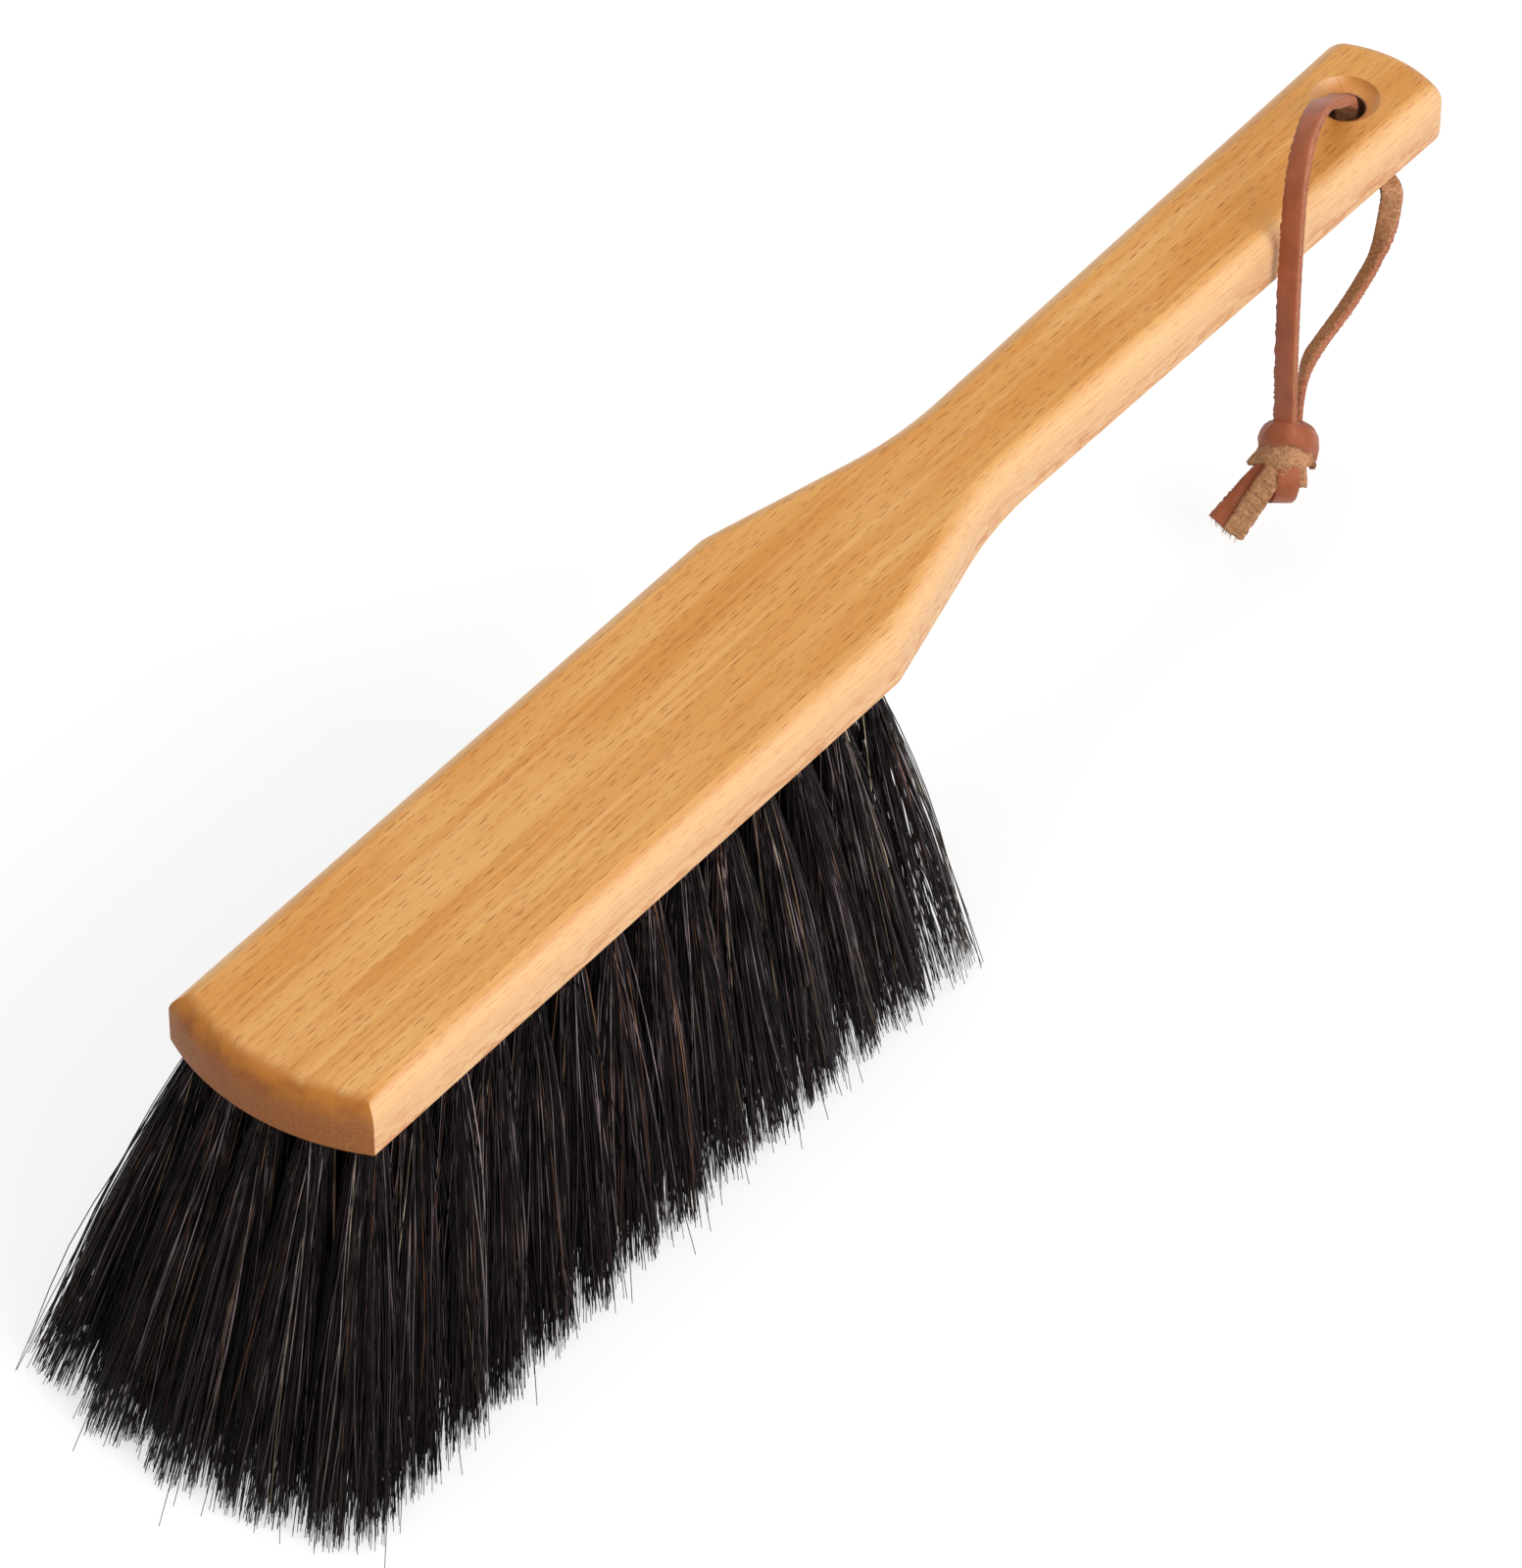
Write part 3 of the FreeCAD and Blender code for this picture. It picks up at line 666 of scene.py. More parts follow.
def half_outline(inset):
    """The back and handle's outline on one side, moved inwards."""
    run = (HANDLE_END - NECK).normalized()
    normal = Vector((-run.y, run.x))
    hollow_middle = NECK + normal * NECK_RADIUS
    shoulder = Vector((BLOCK_LENGTH, BLOCK_HALF))
    reach = hollow_middle - shoulder
    taper_turn = atan2(reach.y, reach.x) - asin(NECK_RADIUS / reach.length)
    taper = Vector((cos(taper_turn), sin(taper_turn)))
    hollow_start = shoulder + taper * sqrt(reach.length ** 2 - NECK_RADIUS ** 2)
    cut_back = SHOULDER_ROUND * tan(-taper_turn / 2)
    shoulder_middle = Vector((BLOCK_LENGTH - cut_back, BLOCK_HALF - SHOULDER_ROUND))
    near_middle = Vector((NEAR_MIDDLE, 0.0))
    far_middle = Vector((HANDLE_END.x - sqrt(END_RADIUS ** 2 - HANDLE_END.y ** 2), 0.0))
    inner = NECK - normal * CORNER_ROUND - far_middle
    along = inner.dot(run)
    to_corner = END_RADIUS - CORNER_ROUND
    step = sqrt(along ** 2 - inner.length_squared + to_corner ** 2) - along
    corner_middle = far_middle + inner + run * step
    corner_turn = atan2(corner_middle.y - far_middle.y, corner_middle.x - far_middle.x)
    upright = atan2(normal.y, normal.x)

    near_radius = NEAR_RADIUS - inset
    level = BLOCK_HALF - inset
    near_corner = Vector((near_middle.x - sqrt(near_radius ** 2 - level ** 2), level))
    corner_from = near_corner - near_middle
    hollow_from = hollow_start - hollow_middle
    round_radius = SHOULDER_ROUND - inset
    shoulder_end = shoulder_middle + Vector((-taper.y, taper.x)) * round_radius
    hollow_first = hollow_middle + hollow_from.normalized() * (NECK_RADIUS + inset)
    neck = NECK - normal * inset
    grip_end = corner_middle + normal * (CORNER_ROUND - inset)
    corner_angle = atan2(corner_from.y, corner_from.x)
    points = list(arc_points(near_middle, near_radius, pi, corner_angle, NEAR_STEPS))
    points += line_points(near_corner, Vector((shoulder_middle.x, level)), SIDE_STEPS)
    points += arc_points(shoulder_middle, round_radius, pi / 2, pi / 2 + taper_turn, SHOULDER_STEPS)
    points += line_points(shoulder_end, hollow_first, TAPER_STEPS)
    points += arc_points(hollow_middle, NECK_RADIUS + inset, atan2(hollow_from.y, hollow_from.x),
                         upright - pi, HOLLOW_STEPS)
    points += line_points(neck, grip_end, GRIP_STEPS)
    points += arc_points(corner_middle, CORNER_ROUND - inset, upright, corner_turn, CORNER_STEPS)
    points += arc_points(far_middle, END_RADIUS - inset, corner_turn, 0.0, END_STEPS)
    points.append(far_middle + Vector((END_RADIUS - inset, 0.0)))
    return points


def wood_sections():
    """Inset and height of each ring of the wood's skin, from the underside up, then those of the worn end."""
    for i in range(BOTTOM_ROUND_STEPS + 1):
        turn = pi / 2 * i / BOTTOM_ROUND_STEPS
        level = (BOTTOM_ROUND * (1 - sin(turn)), BOTTOM_ROUND * (1 - cos(turn)))
        yield level, level
    last = radians(TOP_ROUND_TURN)
    for i in range(TOP_ROUND_STEPS + 1):
        turn = last * i / TOP_ROUND_STEPS
        worn_turn = pi / 2 * i / TOP_ROUND_STEPS
        yield ((TOP_ROUND_INSET * (1 - cos(turn)) / (1 - cos(last)),
                WOOD_THICKNESS - TOP_ROUND_DROP * (1 - sin(turn) / sin(last))),
               (WORN_INSET * (1 - cos(worn_turn)),
                WOOD_THICKNESS - WORN_DROP * (1 - sin(worn_turn))))


def wood_blank():
    build = bmesh.new()
    near_middle = Vector((NEAR_MIDDLE, 0.0))
    rings = []
    for (inset, height), (worn_inset, worn_height) in wood_sections():
        half = half_outline(inset)
        ring = []
        for point in half + [Vector((point.x, -point.y)) for point in half[-2:0:-1]]:
            aside = point.y / BLOCK_HALF
            worn = max(0.0, 1 - aside * aside) * (1 - WORN_LEAN * aside) if point.x < WORN_REACH else 0.0
            waves = sum(rise * sin(pace * point.y + phase) for pace, phase, rise in WORN_WAVES)
            inwards = (near_middle - point).normalized()
            point = point + inwards * (worn_inset - inset) * worn * (1 + WORN_WAVER * waves)
            level = height + (worn_height - height) * min(1.0, worn)
            ring.append(build.verts.new((NEAR_END + point.x, point.y, WOOD_BOTTOM + level)))
        rings.append(ring)
    skin(build, rings)
    return build


def hole_profile():
    """Radius and height of the hanging hole's wall, from below the wood to above it."""
    middle = ((BORE_RADIUS + DISH_RADIUS) / 2, DISH_DEPTH / 2)
    chord = Vector((DISH_RADIUS - BORE_RADIUS, -DISH_DEPTH))
    outward = Vector((DISH_DEPTH, DISH_RADIUS - BORE_RADIUS)).normalized()
    dish = []
    for i in range(DISH_STEPS + 1):
        share = i / DISH_STEPS * 2 - 1
        place = Vector(middle) - chord * share / 2 + outward * DISH_SAG * (1 - share * share)
        dish.append((place.x, place.y))
    lower = [(DISH_RADIUS, -CUT_PAST)] + dish
    return lower + [(radius, WOOD_THICKNESS - height) for radius, height in reversed(lower)]


def wood_cutters():
    build = bmesh.new()
    rings = []
    for radius, height in hole_profile():
        spots = arc_points(HOLE_AXIS, radius, 0.0, tau, HOLE_SEGMENTS)
        rings.append([build.verts.new((*spot, WOOD_BOTTOM + height)) for spot in spots])
    skin(build, rings)
    depth = TUFT_HOLE_DEPTH + CUT_PAST
    for row in range(ROWS):
        for mouth, offset in tuft_places(row):
            turn = Vector((0, 0, 1)).rotation_difference(-offset).to_matrix().to_4x4()
            place = Matrix.Translation(mouth / MM) @ turn @ Matrix.Translation((0, 0, depth / 2 - CUT_PAST))
            bmesh.ops.create_cone(build, cap_ends=True, segments=TUFT_HOLE_SEGMENTS, depth=depth,
                                  radius1=TUFT_HOLE_RADIUS, radius2=TUFT_HOLE_RADIUS, matrix=place)
    return build


def made_plain(piece):
    """The piece with its modifiers worked into its mesh."""
    scene_state = bpy.context.evaluated_depsgraph_get()
    plain = bpy.data.meshes.new_from_object(piece.evaluated_get(scene_state), preserve_all_data_layers=True,
                                            depsgraph=scene_state)
    first = piece.data
    piece.modifiers.clear()
    piece.data = plain
    bpy.data.meshes.remove(first)


def dress(mesh, material):
    mesh.materials.clear()
    mesh.materials.append(material)


def mark_sharp_edges(mesh):
    """Smooth skin, with a crisp line where the top face meets its rounded sides."""
    build = bmesh.new()
    build.from_mesh(mesh)
    top = (WOOD_BOTTOM + WOOD_THICKNESS) * MM
    for face in build.faces:
        face.smooth = True
    for edge in build.edges:
        if len(edge.link_faces) != 2:
            continue
        middle = (edge.verts[0].co + edge.verts[1].co) / 2
        on_rim = abs(middle.z - top) < RIM_DEPTH * MM
        edge.smooth = edge.calc_face_angle() <= (RIM_ANGLE if on_rim else SHARP_ANGLE)
    build.to_mesh(mesh)
    build.free()


def make_back(material):
    piece = as_object("beech_back", wood_blank())
    cutter = as_object("BackCutters", wood_cutters())
    drill = piece.modifiers.new("Holes", "BOOLEAN")
    drill.object = cutter
    drill.operation = "DIFFERENCE"
    drill.solver = "EXACT"
    made_plain(piece)
    spent = cutter.data
    bpy.data.objects.remove(cutter)
    bpy.data.meshes.remove(spent)
    piece.data.transform(Matrix.Scale(MM, 4))
    mark_sharp_edges(piece.data)
    dress(piece.data, material)
    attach(piece, "broom")
    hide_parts("handle_block")


# Horsehair tufts

HAIR_STEPS = 9
HAIR_SIDES = 3
SEEDS_PER_ROW = 1000
# The last rows are thinner than the rest
THIN_ROWS = {ROWS - 2: 420, ROWS - 1: 200}
HAIR_INPUTS = {
    "Hairs per Tuft": 500, "Root Radius": 2.35 * MM, "Tip Radius": 9.2 * MM, "Wisp Pull": 0.9,
    "Free Share": 0.45, "Wisps per Tuft": 60, "Hair Radius": 0.13 * MM, "Ragged Trim": 0.05,
    "Bow": 2.0 * MM, "Wave": 0.9 * MM, "Stray Share": 0.035, "Stray Reach": 0.8, "Seed": 7,
}
# The random draw for each feature of a hair; a place on a disc takes two
DRAWS = {"root": 0, "own": 10, "wisp": 20, "bound": 24, "wisp middle": 30, "astray": 40, "stray": 41,
         "trim": 50, "bow": 60, "wave": 65, "tone": 70}
# Marks kept for the wisps of each tuft
WISP_MARKS = 100.0
# How far out on a disc the places crowd: 0.5 is even, and less is nearer the rim
ROOT_CROWDING = 0.5
TIP_CROWDING = 0.38
BEND_CROWDING = 0.7
# A loose hair's tip follows a place of its own, and a little its root's
OWN_SHARE = 0.95
ROOT_SHARE = 0.15
STRAY_LEAST = 0.3
TRIM_POWER = 2.5
# How far up its hole a hair starts, as a share of its length
ROOT_RISE = 0.04
FLARE_POWER = 0.66
HALF_WAVES = 2.6
TAPER_POWER = 6.0
TAPER_LOSS = 0.4


def random_value(kind, low, high, mark, seed, draw):
    """A random number for each mark, the same on every run."""
    first, result = {"FLOAT": (2, 1), "INT": (4, 2)}[kind]
    inputs = {first: low, first + 1: high, "ID": mark, "Seed": calc("ADD", seed, draw)}
    return add(mark.id_data, "FunctionNodeRandomValue", inputs, data_type=kind).outputs[result]


def store(geometry, name, value, kind="FLOAT_VECTOR"):
    inputs = {"Geometry": geometry, "Name": name, "Value": value}
    return out(geometry.id_data, "GeometryNodeStoreNamedAttribute", inputs, data_type=kind, domain="POINT")


def stored(tree, name, kind="FLOAT_VECTOR"):
    return out(tree, "GeometryNodeInputNamedAttribute", {"Name": name}, data_type=kind)


def make_hair_tree(material):
    """Grows a bundle of hairs from each point, towards where the bundle's tips stand."""
    tree, given, result = make_group("HairTufts", "GeometryNodeTree", {"Tufts": None, **HAIR_INPUTS},
                                     {"Hair": None})
    tree.is_modifier = True
    seed = given["Seed"]

    def node(kind, inputs=None, **settings):
        return out(tree, "GeometryNode" + kind, inputs, **settings)

    index = node("InputIndex")

    def chance(feature, low=0.0, high=1.0, mark=index, after=0):
        return random_value("FLOAT", low, high, mark, seed, DRAWS[feature] + after)

    def on_disc(feature, crowding, mark=index):
        """A random place on a disc of radius 1, level with the floor."""
        turn = chance(feature, 0.0, tau, mark)
        far = calc("POWER", chance(feature, mark=mark, after=1), crowding)
        x = times(calc("COSINE", turn), far)
        y = times(calc("SINE", turn), far)
        return out(tree, "CombineXYZ", {"X": x, "Y": y})

    tufts = store(given["Tufts"], "mouth", node("InputPosition"))
    tufts = store(tufts, "bundle", index, "INT")
    points = node("DuplicateElements", {"Geometry": tufts, "Amount": given["Hairs per Tuft"]}, domain="POINT")

    # Where the tip stands: loose, or pulled into a wisp, and now and then astray
    root = on_disc("root", ROOT_CROWDING)
    own = on_disc("own", TIP_CROWDING)
    loose = vector_calc("ADD", scaled(root, ROOT_SHARE), scaled(own, OWN_SHARE))
    wisp = random_value("INT", 0, given["Wisps per Tuft"], index, seed, DRAWS["wisp"])
    wisp_mark = linear(stored(tree, "bundle", "INT"), WISP_MARKS, wisp)
    bound = calc("GREATER_THAN", chance("bound"), given["Free Share"])
    pulled = add(tree, "Mix", {
        "Factor": times(bound, given["Wisp Pull"]), 4: loose,
        5: on_disc("wisp middle", TIP_CROWDING, wisp_mark)}, data_type="VECTOR")
    astray = calc("LESS_THAN", chance("astray"), given["Stray Share"])
    farther = linear(times(astray, given["Stray Reach"]), chance("stray", STRAY_LEAST), 1.0)
    shortness = times(calc("POWER", chance("trim"), TRIM_POWER), given["Ragged Trim"])
    for name, value in (
            ("root", scaled(root, given["Root Radius"])),
            ("tip", scaled(pulled.outputs[1], times(given["Tip Radius"], farther))),
            ("bow", scaled(on_disc("bow", BEND_CROWDING), given["Bow"])),
            ("wave", scaled(on_disc("wave", BEND_CROWDING), given["Wave"]))):
        points = store(points, name, value)
    points = store(points, "cut", calc("SUBTRACT", 1.0, shortness), "FLOAT")
    points = store(points, "hair_tone", chance("tone"), "FLOAT")

    line = node("CurvePrimitiveLine")
    stem = node("ResampleCurve", {"Curve": line, "Count": HAIR_STEPS})
    planted = node("InstanceOnPoints", {"Points": points, "Instance": stem})
    stems = node("RealizeInstances", {"Geometry": planted})

    along = node("SplineParameter")
    length = calc("ADD", stored(tree, "cut", "FLOAT"), ROOT_RISE)
    run = linear(along, length, -ROOT_RISE)
    flare = calc("POWER", calc("MAXIMUM", run, 0.0), FLARE_POWER)
    arch = calc("SINE", times(along, pi))
    ripple = calc("SINE", times(along, HALF_WAVES * pi))
    spot = stored(tree, "mouth")
    for name, share in (("reach", run), ("root", calc("SUBTRACT", 1.0, flare)), ("tip", flare),
                        ("bow", arch), ("wave", times(ripple, flare))):
        spot = vector_calc("ADD", spot, scaled(stored(tree, name), share))
    shaped = node("SetPosition", {"Geometry": stems, "Position": spot})

    loss = times(calc("POWER", along, TAPER_POWER), TAPER_LOSS)
    thickness = times(calc("SUBTRACT", 1.0, loss), given["Hair Radius"])
    section = node("CurvePrimitiveCircle", {"Resolution": HAIR_SIDES, "Radius": 1.0})
    tubes = node("CurveToMesh", {"Curve": shaped, "Profile Curve": section, "Scale": thickness,
                                 "Fill Caps": True})
    smooth = node("SetShadeSmooth", {"Geometry": tubes})
    whole = node("RealizeInstances", {"Geometry": smooth})
    dressed = node("SetMaterial", {"Geometry": whole, "Material": material})
    feed(result["Hair"], dressed)
    return tree


def tuft_places(row):
    """Where a row's tufts leave the wood, and how far their tips stand from there."""
    along = row / (ROWS - 1)
    for column in range(COLUMNS):
        side = 2 * column / (COLUMNS - 1) - 1
        bow = FIRST_ROW_BOW * (1 - side * side) * (1 - along)
        mouth = Vector((NEAR_END + FIRST_ROW + (LAST_ROW - FIRST_ROW) * along - bow,
                        SIDE_COLUMN * side, WOOD_BOTTOM)) * MM
        tip_bow = TIPS_BOW * (1 - side * side) * (1 - along)
        dip = SIDE_TIPS_DIP * 4 * along * (1 - along)
        aside = NEAR_SIDE_TIPS + (FAR_SIDE_TIPS - NEAR_SIDE_TIPS) * along - dip
        tip = Vector((NEAR_END + NEAR_TIPS + (FAR_TIPS - NEAR_TIPS) * along - tip_bow,
                      aside * side + TIPS_LEAN, 0.0)) * MM
        yield mouth, tip - mouth


def grow_row(row, tree):
    places = list(tuft_places(row))
    mesh = bpy.data.meshes.new(f"tuft_mouths_{row + 1:02d}")
    mesh.from_pydata([mouth for mouth, _ in places], [], [])
    reach = mesh.attributes.new("reach", "FLOAT_VECTOR", "POINT")
    for value, (_, offset) in zip(reach.data, places):
        value.vector = offset
    piece = link_object(f"hair_row_{row + 1:02d}", mesh)
    modifier = piece.modifiers.new("Tufts", "NODES")
    modifier.node_group = tree
    sockets = {item.name: item.identifier for item in tree.interface.items_tree if item.in_out == "INPUT"}
    modifier[sockets["Seed"]] = SEEDS_PER_ROW * (row + 1)
    if row in THIN_ROWS:
        modifier[sockets["Hairs per Tuft"]] = THIN_ROWS[row]
    made_plain(piece)
    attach(piece, "broom")
    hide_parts(f"tuft_row_{row + 1:02d}")


# Leather thong

# One section of the thong: across, through, and the finish of the side that starts there
GRAIN, EDGE, FLESH = 0, 1, 2
THONG_SECTION = (
    (-0.86, 0.98, GRAIN), (-0.3, 1.0, GRAIN), (0.3, 1.0, GRAIN), (0.86, 0.98, GRAIN),
    (0.97, 0.8, EDGE), (1.0, 0.25, EDGE), (1.0, -0.3, EDGE), (0.95, -0.85, FLESH),
    (0.72, -1.0, FLESH), (0.24, -1.0, FLESH), (-0.24, -1.0, FLESH), (-0.72, -1.0, FLESH),
    (-0.95, -0.85, EDGE), (-1.0, -0.3, EDGE), (-1.0, 0.25, EDGE), (-0.97, 0.8, GRAIN),
)
# How uneven each finish is, in millimetres
ROUGHNESS = {GRAIN: 0.0, EDGE: 0.12, FLESH: 0.18}
ROUTE_ORDER = 3
ROUTE_RESOLUTION = 22
STRAND_SEED = 11
KNOT_SEED = 23
TAIL_SEED = 31


def smooth_route(points):
    """Points along the NURBS spline that has the route's points as its control points."""
    data = bpy.data.curves.new("Route", "CURVE")
    data.dimensions = "3D"
    spline = data.splines.new("NURBS")
    spline.points.add(len(points) - 1)
    for control, point in zip(spline.points, points):
        control.co = (*point, 1.0)
    spline.order_u = ROUTE_ORDER
    spline.use_endpoint_u = True
    spline.resolution_u = ROUTE_RESOLUTION
    holder = link_object("Route", data)
    line = bpy.data.meshes.new_from_object(holder)
    route = [vertex.co.copy() for vertex in line.vertices]
    bpy.data.objects.remove(holder)
    bpy.data.curves.remove(data)
    bpy.data.meshes.remove(line)
    return route


def directions(route):
    last = len(route) - 1
    return [(route[min(i + 1, last)] - route[max(i - 1, 0)]).normalized() for i in range(last + 1)]


def between(stops, share):
    """A value read from stops of (share, vector)."""
    for (start, first), (end, second) in zip(stops, stops[1:]):
        if share <= end:
            return Vector(first).lerp(Vector(second), (share - start) / (end - start))
    return Vector(stops[-1][1])


def add_thong(build, route, outward, width, thickness, draw, rough=1.0):
    """Adds a strip along a route to a mesh: outward gives the grain side's direction at each share."""
    rings = []
    last = len(route) - 1
    for i, (spot, ahead) in enumerate(zip(route, directions(route))):
        grain = outward(i / last, ahead)
        grain = (grain - ahead * grain.dot(ahead)).normalized()
        across = ahead.cross(grain)
        ring = []
        for side, through, finish in THONG_SECTION:
            uneven = rough * ROUGHNESS[finish] * draw.uniform(-1, 1) * MM
            ring.append(build.verts.new(spot + across * (side * width / 2 * MM + uneven * side)
                                        + grain * (through * thickness / 2 * MM + uneven)))
        rings.append(ring)
    skin(build, rings, lambda step, k: THONG_SECTION[k][2], FLESH)


def finish_thong(name, build, materials):
    piece = as_object(name, build)
    for material in materials:
        piece.data.materials.append(material)
    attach(piece, "hanging_strap")
    return piece


# At shares of their length: which way the upper strand's width lies, and the lower one's grain side faces
UPPER_ACROSS = (
    (0.0, (0.358, -0.934, 0.0)), (0.08, (0.358, -0.934, 0.0)),
    (0.2, (0.05, -0.9, 0.42)), (0.42, (0.0, -0.93, 0.36)),
    (0.6, (0.06, -0.998, 0.0)), (1.0, (0.06, -0.998, 0.0)),
)
LOWER_OUTWARD = (
    (0.0, (0.934, 0.358, 0.0)), (0.1, (0.1, 0.1, -1.0)),
    (0.22, (0.1, 0.1, -1.0)), (0.32, (0.85, 0.5, -0.1)),
    (0.37, (0.85, 0.4, -0.25)), (0.54, (0.28, -0.55, -0.78)),
    (0.85, (0.28, -0.55, -0.78)), (1.0, (0.61, -0.79, 0.0)),
)


def make_strands(materials):
    draw = random.Random(STRAND_SEED)
    strands = []
    for name, points, width, thickness, outward in (
            ("thong_upper", UPPER_STRAND, THONG_WIDTH, THONG_THICKNESS,
             lambda share, ahead: ahead.cross(between(UPPER_ACROSS, share))),
            ("thong_lower", LOWER_STRAND, STRETCHED_WIDTH, STRETCHED_THICKNESS,
             lambda share, ahead: between(LOWER_OUTWARD, share))):
        route = smooth_route([from_hole(point) for point in points])
        build = bmesh.new()
        add_thong(build, route, outward, width, thickness, draw)
        strands.append((finish_thong(name, build, materials), route))
    return strands


# The knot's own axes: to the right and towards the viewer of the photo's side, and up
KNOT_RIGHT = Vector((0.6107, -0.7919, 0.0))
KNOT_FRONT = Vector((-0.7919, -0.6107, 0.0))
# Heights round the knot, in eighths of a turn from its front to its right
WRAP_TOP = (13.0, 11.0, 8.2, 8.2, 8.6, 9.0, 10.2, 12.2)
WRAP_EDGE = (8.8, 5.4, -2.2, -2.0, 1.5, 3.0, 4.3, 7.4)
COLLAR_RIM = (3.2, 2.0, -1.2, -1.6, -1.0, -0.4, -0.2, 2.6)
# How much wider than the rest the wrap's top, and the collar, are at each eighth
TOP_SPREAD = (1.0, 1.2, 1.38, 1.2, 1.0, 1.0, 1.06, 1.0)
COLLAR_SPREAD = (1.0, 0.92, 0.7, 0.78, 0.95, 1.0, 1.04, 1.02)
# How far the wrap's lower edge tucks in at each eighth
EDGE_TUCK = (0.0, 0.06, 0.24, 0.12, 0.0, 0.0, 0.0, 0.0)
# The wrap's skin from its throat to the core: half width, half depth, how far down from the top of its
# part, and the finish of the band that starts there
WRAP_SKIN = (
    (2.6, 1.8, -0.02, GRAIN), (3.2, 2.6, 0.0, GRAIN), (3.7, 3.1, 0.04, GRAIN), (4.7, 4.1, 0.22, GRAIN),
    (5.5, 4.8, 0.48, GRAIN), (5.95, 5.2, 0.75, GRAIN), (5.9, 5.3, 1.0, EDGE),
)
COLLAR_SKIN = (
    (5.7, 4.95, 0.08, FLESH), (5.45, 4.7, 0.3, FLESH), (5.8, 5.1, 0.62, FLESH), (6.4, 5.55, 1.0, FLESH),
    (5.6, 4.7, 1.12, FLESH), (3.9, 3.3, 1.1, FLESH),
)
KNOT_CORE = ((3.0, 2.6, -5.5), (1.2, 1.0, -6.4))
KNOT_SEGMENTS = 56
KNOT_SHIFT = 0.3
COLLAR_POINT_TURN = 276.0
COLLAR_POINT_SPREAD = 14.0
COLLAR_POINT = 0.2
LONG_TAIL = ((-1.0, 2.4, 3.0), (-4.4, 3.2, 0.0), (-8.6, 3.4, -6.4), (-12.4, 3.4, -12.5))
SHORT_TAIL = ((-0.5, 3.6, 4.0), (-2.8, 4.6, 0.6), (-6.2, 5.0, -6.2), (-9.8, 5.0, -14.0))
CROSS_STRIP = ((0.4, 3.0, 4.0), (0.3, 4.9, 2.0), (0.2, 5.6, -1.5), (-0.3, 4.8, -5.0), (-1.2, 2.4, -8.0),
               (-1.8, -1.5, -8.0), (-1.6, -4.2, -4.5), (-1.0, -4.0, 0.0))
SIDE_STUB = ((2.4, 2.4, 4.0), (3.0, 3.3, 0.8), (3.2, 3.2, -3.4))
CROSS_THICKNESS = 1.7
STUB_WIDTH = 1.7
STUB_THICKNESS = 1.6
# From here down the collar keeps its full spread, and comes to its point
COLLAR_SPREAD_DOWN = 0.5
# How much of a finish's roughness goes into the wrap's width and height
WIDTH_RUFFLE = 1.6
HEIGHT_RUFFLE = 2.0
TAIL_ROUGHNESS = 1.7
TAIL_FACING = (KNOT_FRONT + Vector((0, 0, 0.9))).normalized()
# Loose fibres at the cut ends, in millimetres: reach across and through the end, and lean the same ways
FIBRES_PER_END = 30
FIBRE_REACH = (2.1, 0.9)
FIBRE_LEAN = (0.6, 0.5)
FIBRE_LENGTH = (0.6, 2.4)
FIBRE_WIDTH = (0.1, 0.22)
FIBRE_SUNK = 0.2


def at_knot(right, front, up):
    return from_hole(KNOT_MIDDLE) + (KNOT_RIGHT * right + KNOT_FRONT * front + Vector((0, 0, up))) * MM


def knot_route(points):
    return smooth_route([at_knot(*point) for point in points])


def round_knot(heights, turn):
    """A height read at a turn in degrees, smoothly between the eighths."""
    place = turn / 45 % 8
    first = int(place)
    ease = (1 - cos(pi * (place - first))) / 2
    return heights[first] + (heights[(first + 1) % 8] - heights[first]) * ease


def add_wrap(build, draw):
    """The strip round the top of the knot, and its rough lower half that folds outwards."""
    rings = []
    finishes = []
    turns = [360 * k / KNOT_SEGMENTS for k in range(KNOT_SEGMENTS)]

    def around(turn, wide, deep, up):
        angle = radians(turn)
        return build.verts.new(at_knot(KNOT_SHIFT + wide * sin(angle), deep * cos(angle), up))

    bands = [(band, WRAP_TOP, WRAP_EDGE) for band in WRAP_SKIN]
    bands += [(band, WRAP_EDGE, COLLAR_RIM) for band in COLLAR_SKIN]
    for (wide, deep, down, finish), above, below in bands:
        ring = []
        on_rim = above is WRAP_EDGE and down > COLLAR_SPREAD_DOWN
        for turn in turns:
            top, edge = round_knot(above, turn), round_knot(below, turn)
            off_point = (turn - COLLAR_POINT_TURN) / COLLAR_POINT_SPREAD
            swell = 1 + COLLAR_POINT * exp(-off_point * off_point) if on_rim else 1.0
            if above is WRAP_TOP:
                fall = min(1.0, max(0.0, down))
                swell *= 1 + (round_knot(TOP_SPREAD, turn) - 1) * (1 - fall) ** 2
                swell *= 1 - round_knot(EDGE_TUCK, turn) * fall ** 4
            else:
                swell *= 1 + (round_knot(COLLAR_SPREAD, turn) - 1) * min(1.0, down / COLLAR_SPREAD_DOWN)
            swell += WIDTH_RUFFLE * ROUGHNESS[finish] * draw.uniform(-1, 1) / wide
            sag = HEIGHT_RUFFLE * ROUGHNESS[finish] * draw.uniform(-1, 1)
            ring.append(around(turn, wide * swell, deep * swell, top + (edge - top) * down + sag))
        rings.append(ring)
        finishes.append(finish)
    for wide, deep, up in KNOT_CORE:
        rings.append([around(turn, wide, deep, up) for turn in turns])
        finishes.append(FLESH)
    skin(build, rings, lambda step, k: finishes[step], FLESH)


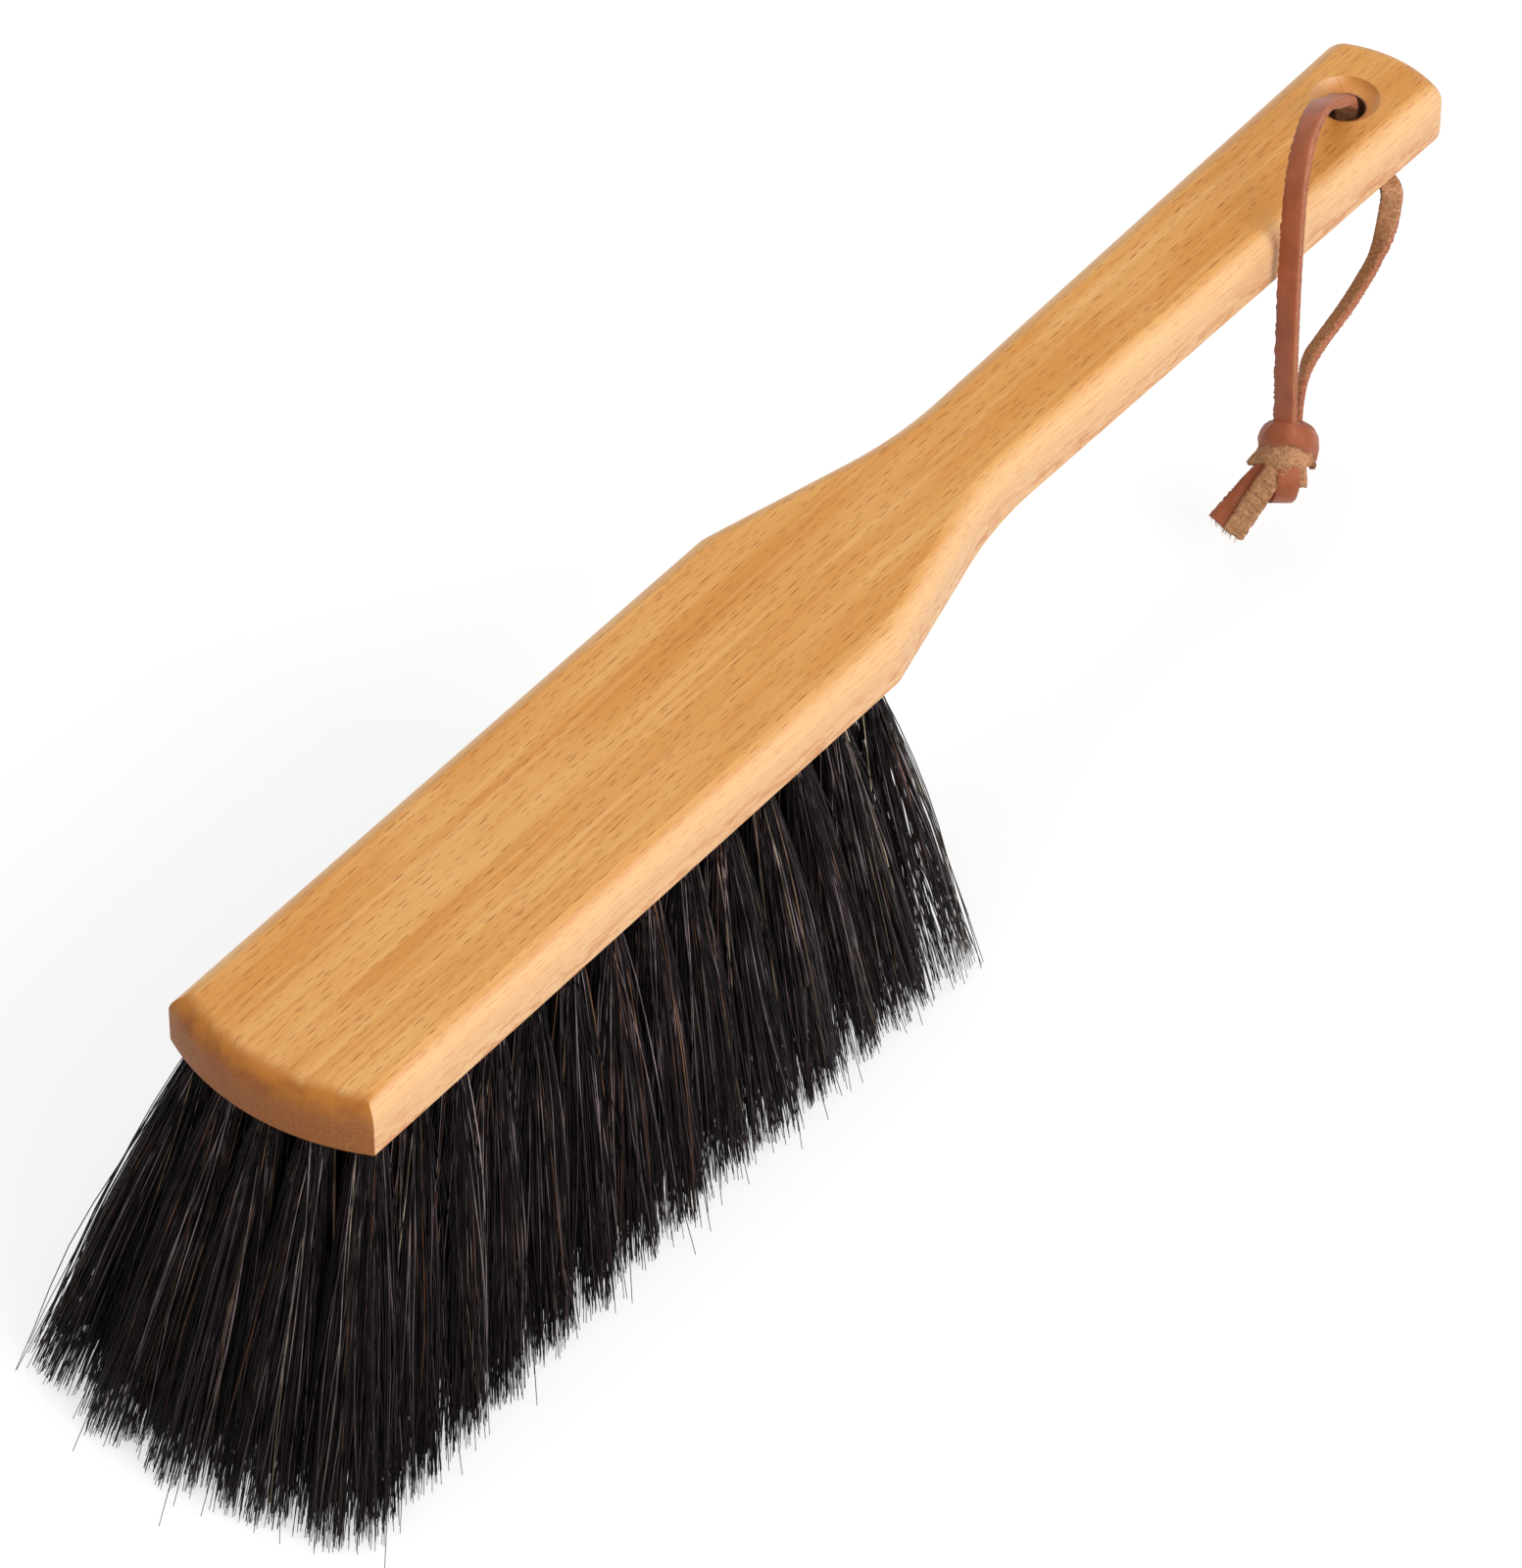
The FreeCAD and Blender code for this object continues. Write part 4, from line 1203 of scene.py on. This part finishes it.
def make_knot(materials):
    """An overhand knot: the wrap round its top, the strip that crosses below, and a fold at its side."""
    draw = random.Random(KNOT_SEED)
    build = bmesh.new()
    add_wrap(build, draw)
    add_thong(build, knot_route(CROSS_STRIP), lambda share, ahead: ahead.cross(KNOT_RIGHT),
              THONG_WIDTH, CROSS_THICKNESS, draw)
    add_thong(build, knot_route(SIDE_STUB), lambda share, ahead: -KNOT_FRONT,
              STUB_WIDTH, STUB_THICKNESS, draw)
    return finish_thong("thong_knot", build, materials)


def add_fibre(build, root, ahead, length, draw):
    """A loose fibre of leather, drawn out to a point."""
    side = ahead.orthogonal().normalized()
    turned = ahead.cross(side)
    width = draw.uniform(*FIBRE_WIDTH) * MM
    foot = [build.verts.new(root + (side * cos(turn) + turned * sin(turn)) * width)
            for turn in (0.0, tau / 3, 2 * tau / 3)]
    tip = build.verts.new(root + ahead * length)
    for k in range(3):
        build.faces.new((foot[k], foot[(k + 1) % 3], tip)).material_index = FLESH
    build.faces.new(foot).material_index = FLESH


def make_tails(materials):
    draw = random.Random(TAIL_SEED)
    build = bmesh.new()
    for points, grain in ((LONG_TAIL, TAIL_FACING), (SHORT_TAIL, -TAIL_FACING)):
        route = knot_route(points)
        add_thong(build, route, lambda share, ahead: grain, THONG_WIDTH, THONG_THICKNESS, draw,
                  TAIL_ROUGHNESS)
        ahead = directions(route)[-1]
        across = ahead.cross(TAIL_FACING).normalized()

        def astray(most):
            return across * draw.uniform(-most[0], most[0]) + TAIL_FACING * draw.uniform(-most[1], most[1])

        for _ in range(FIBRES_PER_END):
            root = route[-1] + astray(FIBRE_REACH) * MM - ahead * FIBRE_SUNK * MM
            lean = astray(FIBRE_LEAN)
            add_fibre(build, root, (ahead + lean).normalized(), draw.uniform(*FIBRE_LENGTH) * MM, draw)
    return finish_thong("thong_tails", build, materials)


# Putting the broom together


bpy.context.scene.view_settings.view_transform = "Standard"
make_camera()
make_world()
for lamp in LAMPS:
    make_softbox(*lamp)
make_floor()

thong_materials = (
    make_grain_leather(),
    make_flesh_leather("CutLeather", CUT_TONES, CUT_FUZZ),
    make_flesh_leather("FleshLeather", FLESH_TONES, FLESH_FUZZ),
)
(upper, upper_route), (lower, lower_route) = make_strands(thong_materials)
knot = make_knot(thong_materials)
tails = make_tails(thong_materials)
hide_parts("strap_upper")
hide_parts("strap_lower")
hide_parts("strap_knot")
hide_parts("strap_tails")

make_back(make_beech())
dress(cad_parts["tuft_anchors"].data, make_anchor_wire())

hair_tree = make_hair_tree(make_horsehair())
for row in range(ROWS):
    grow_row(row, hair_tree)
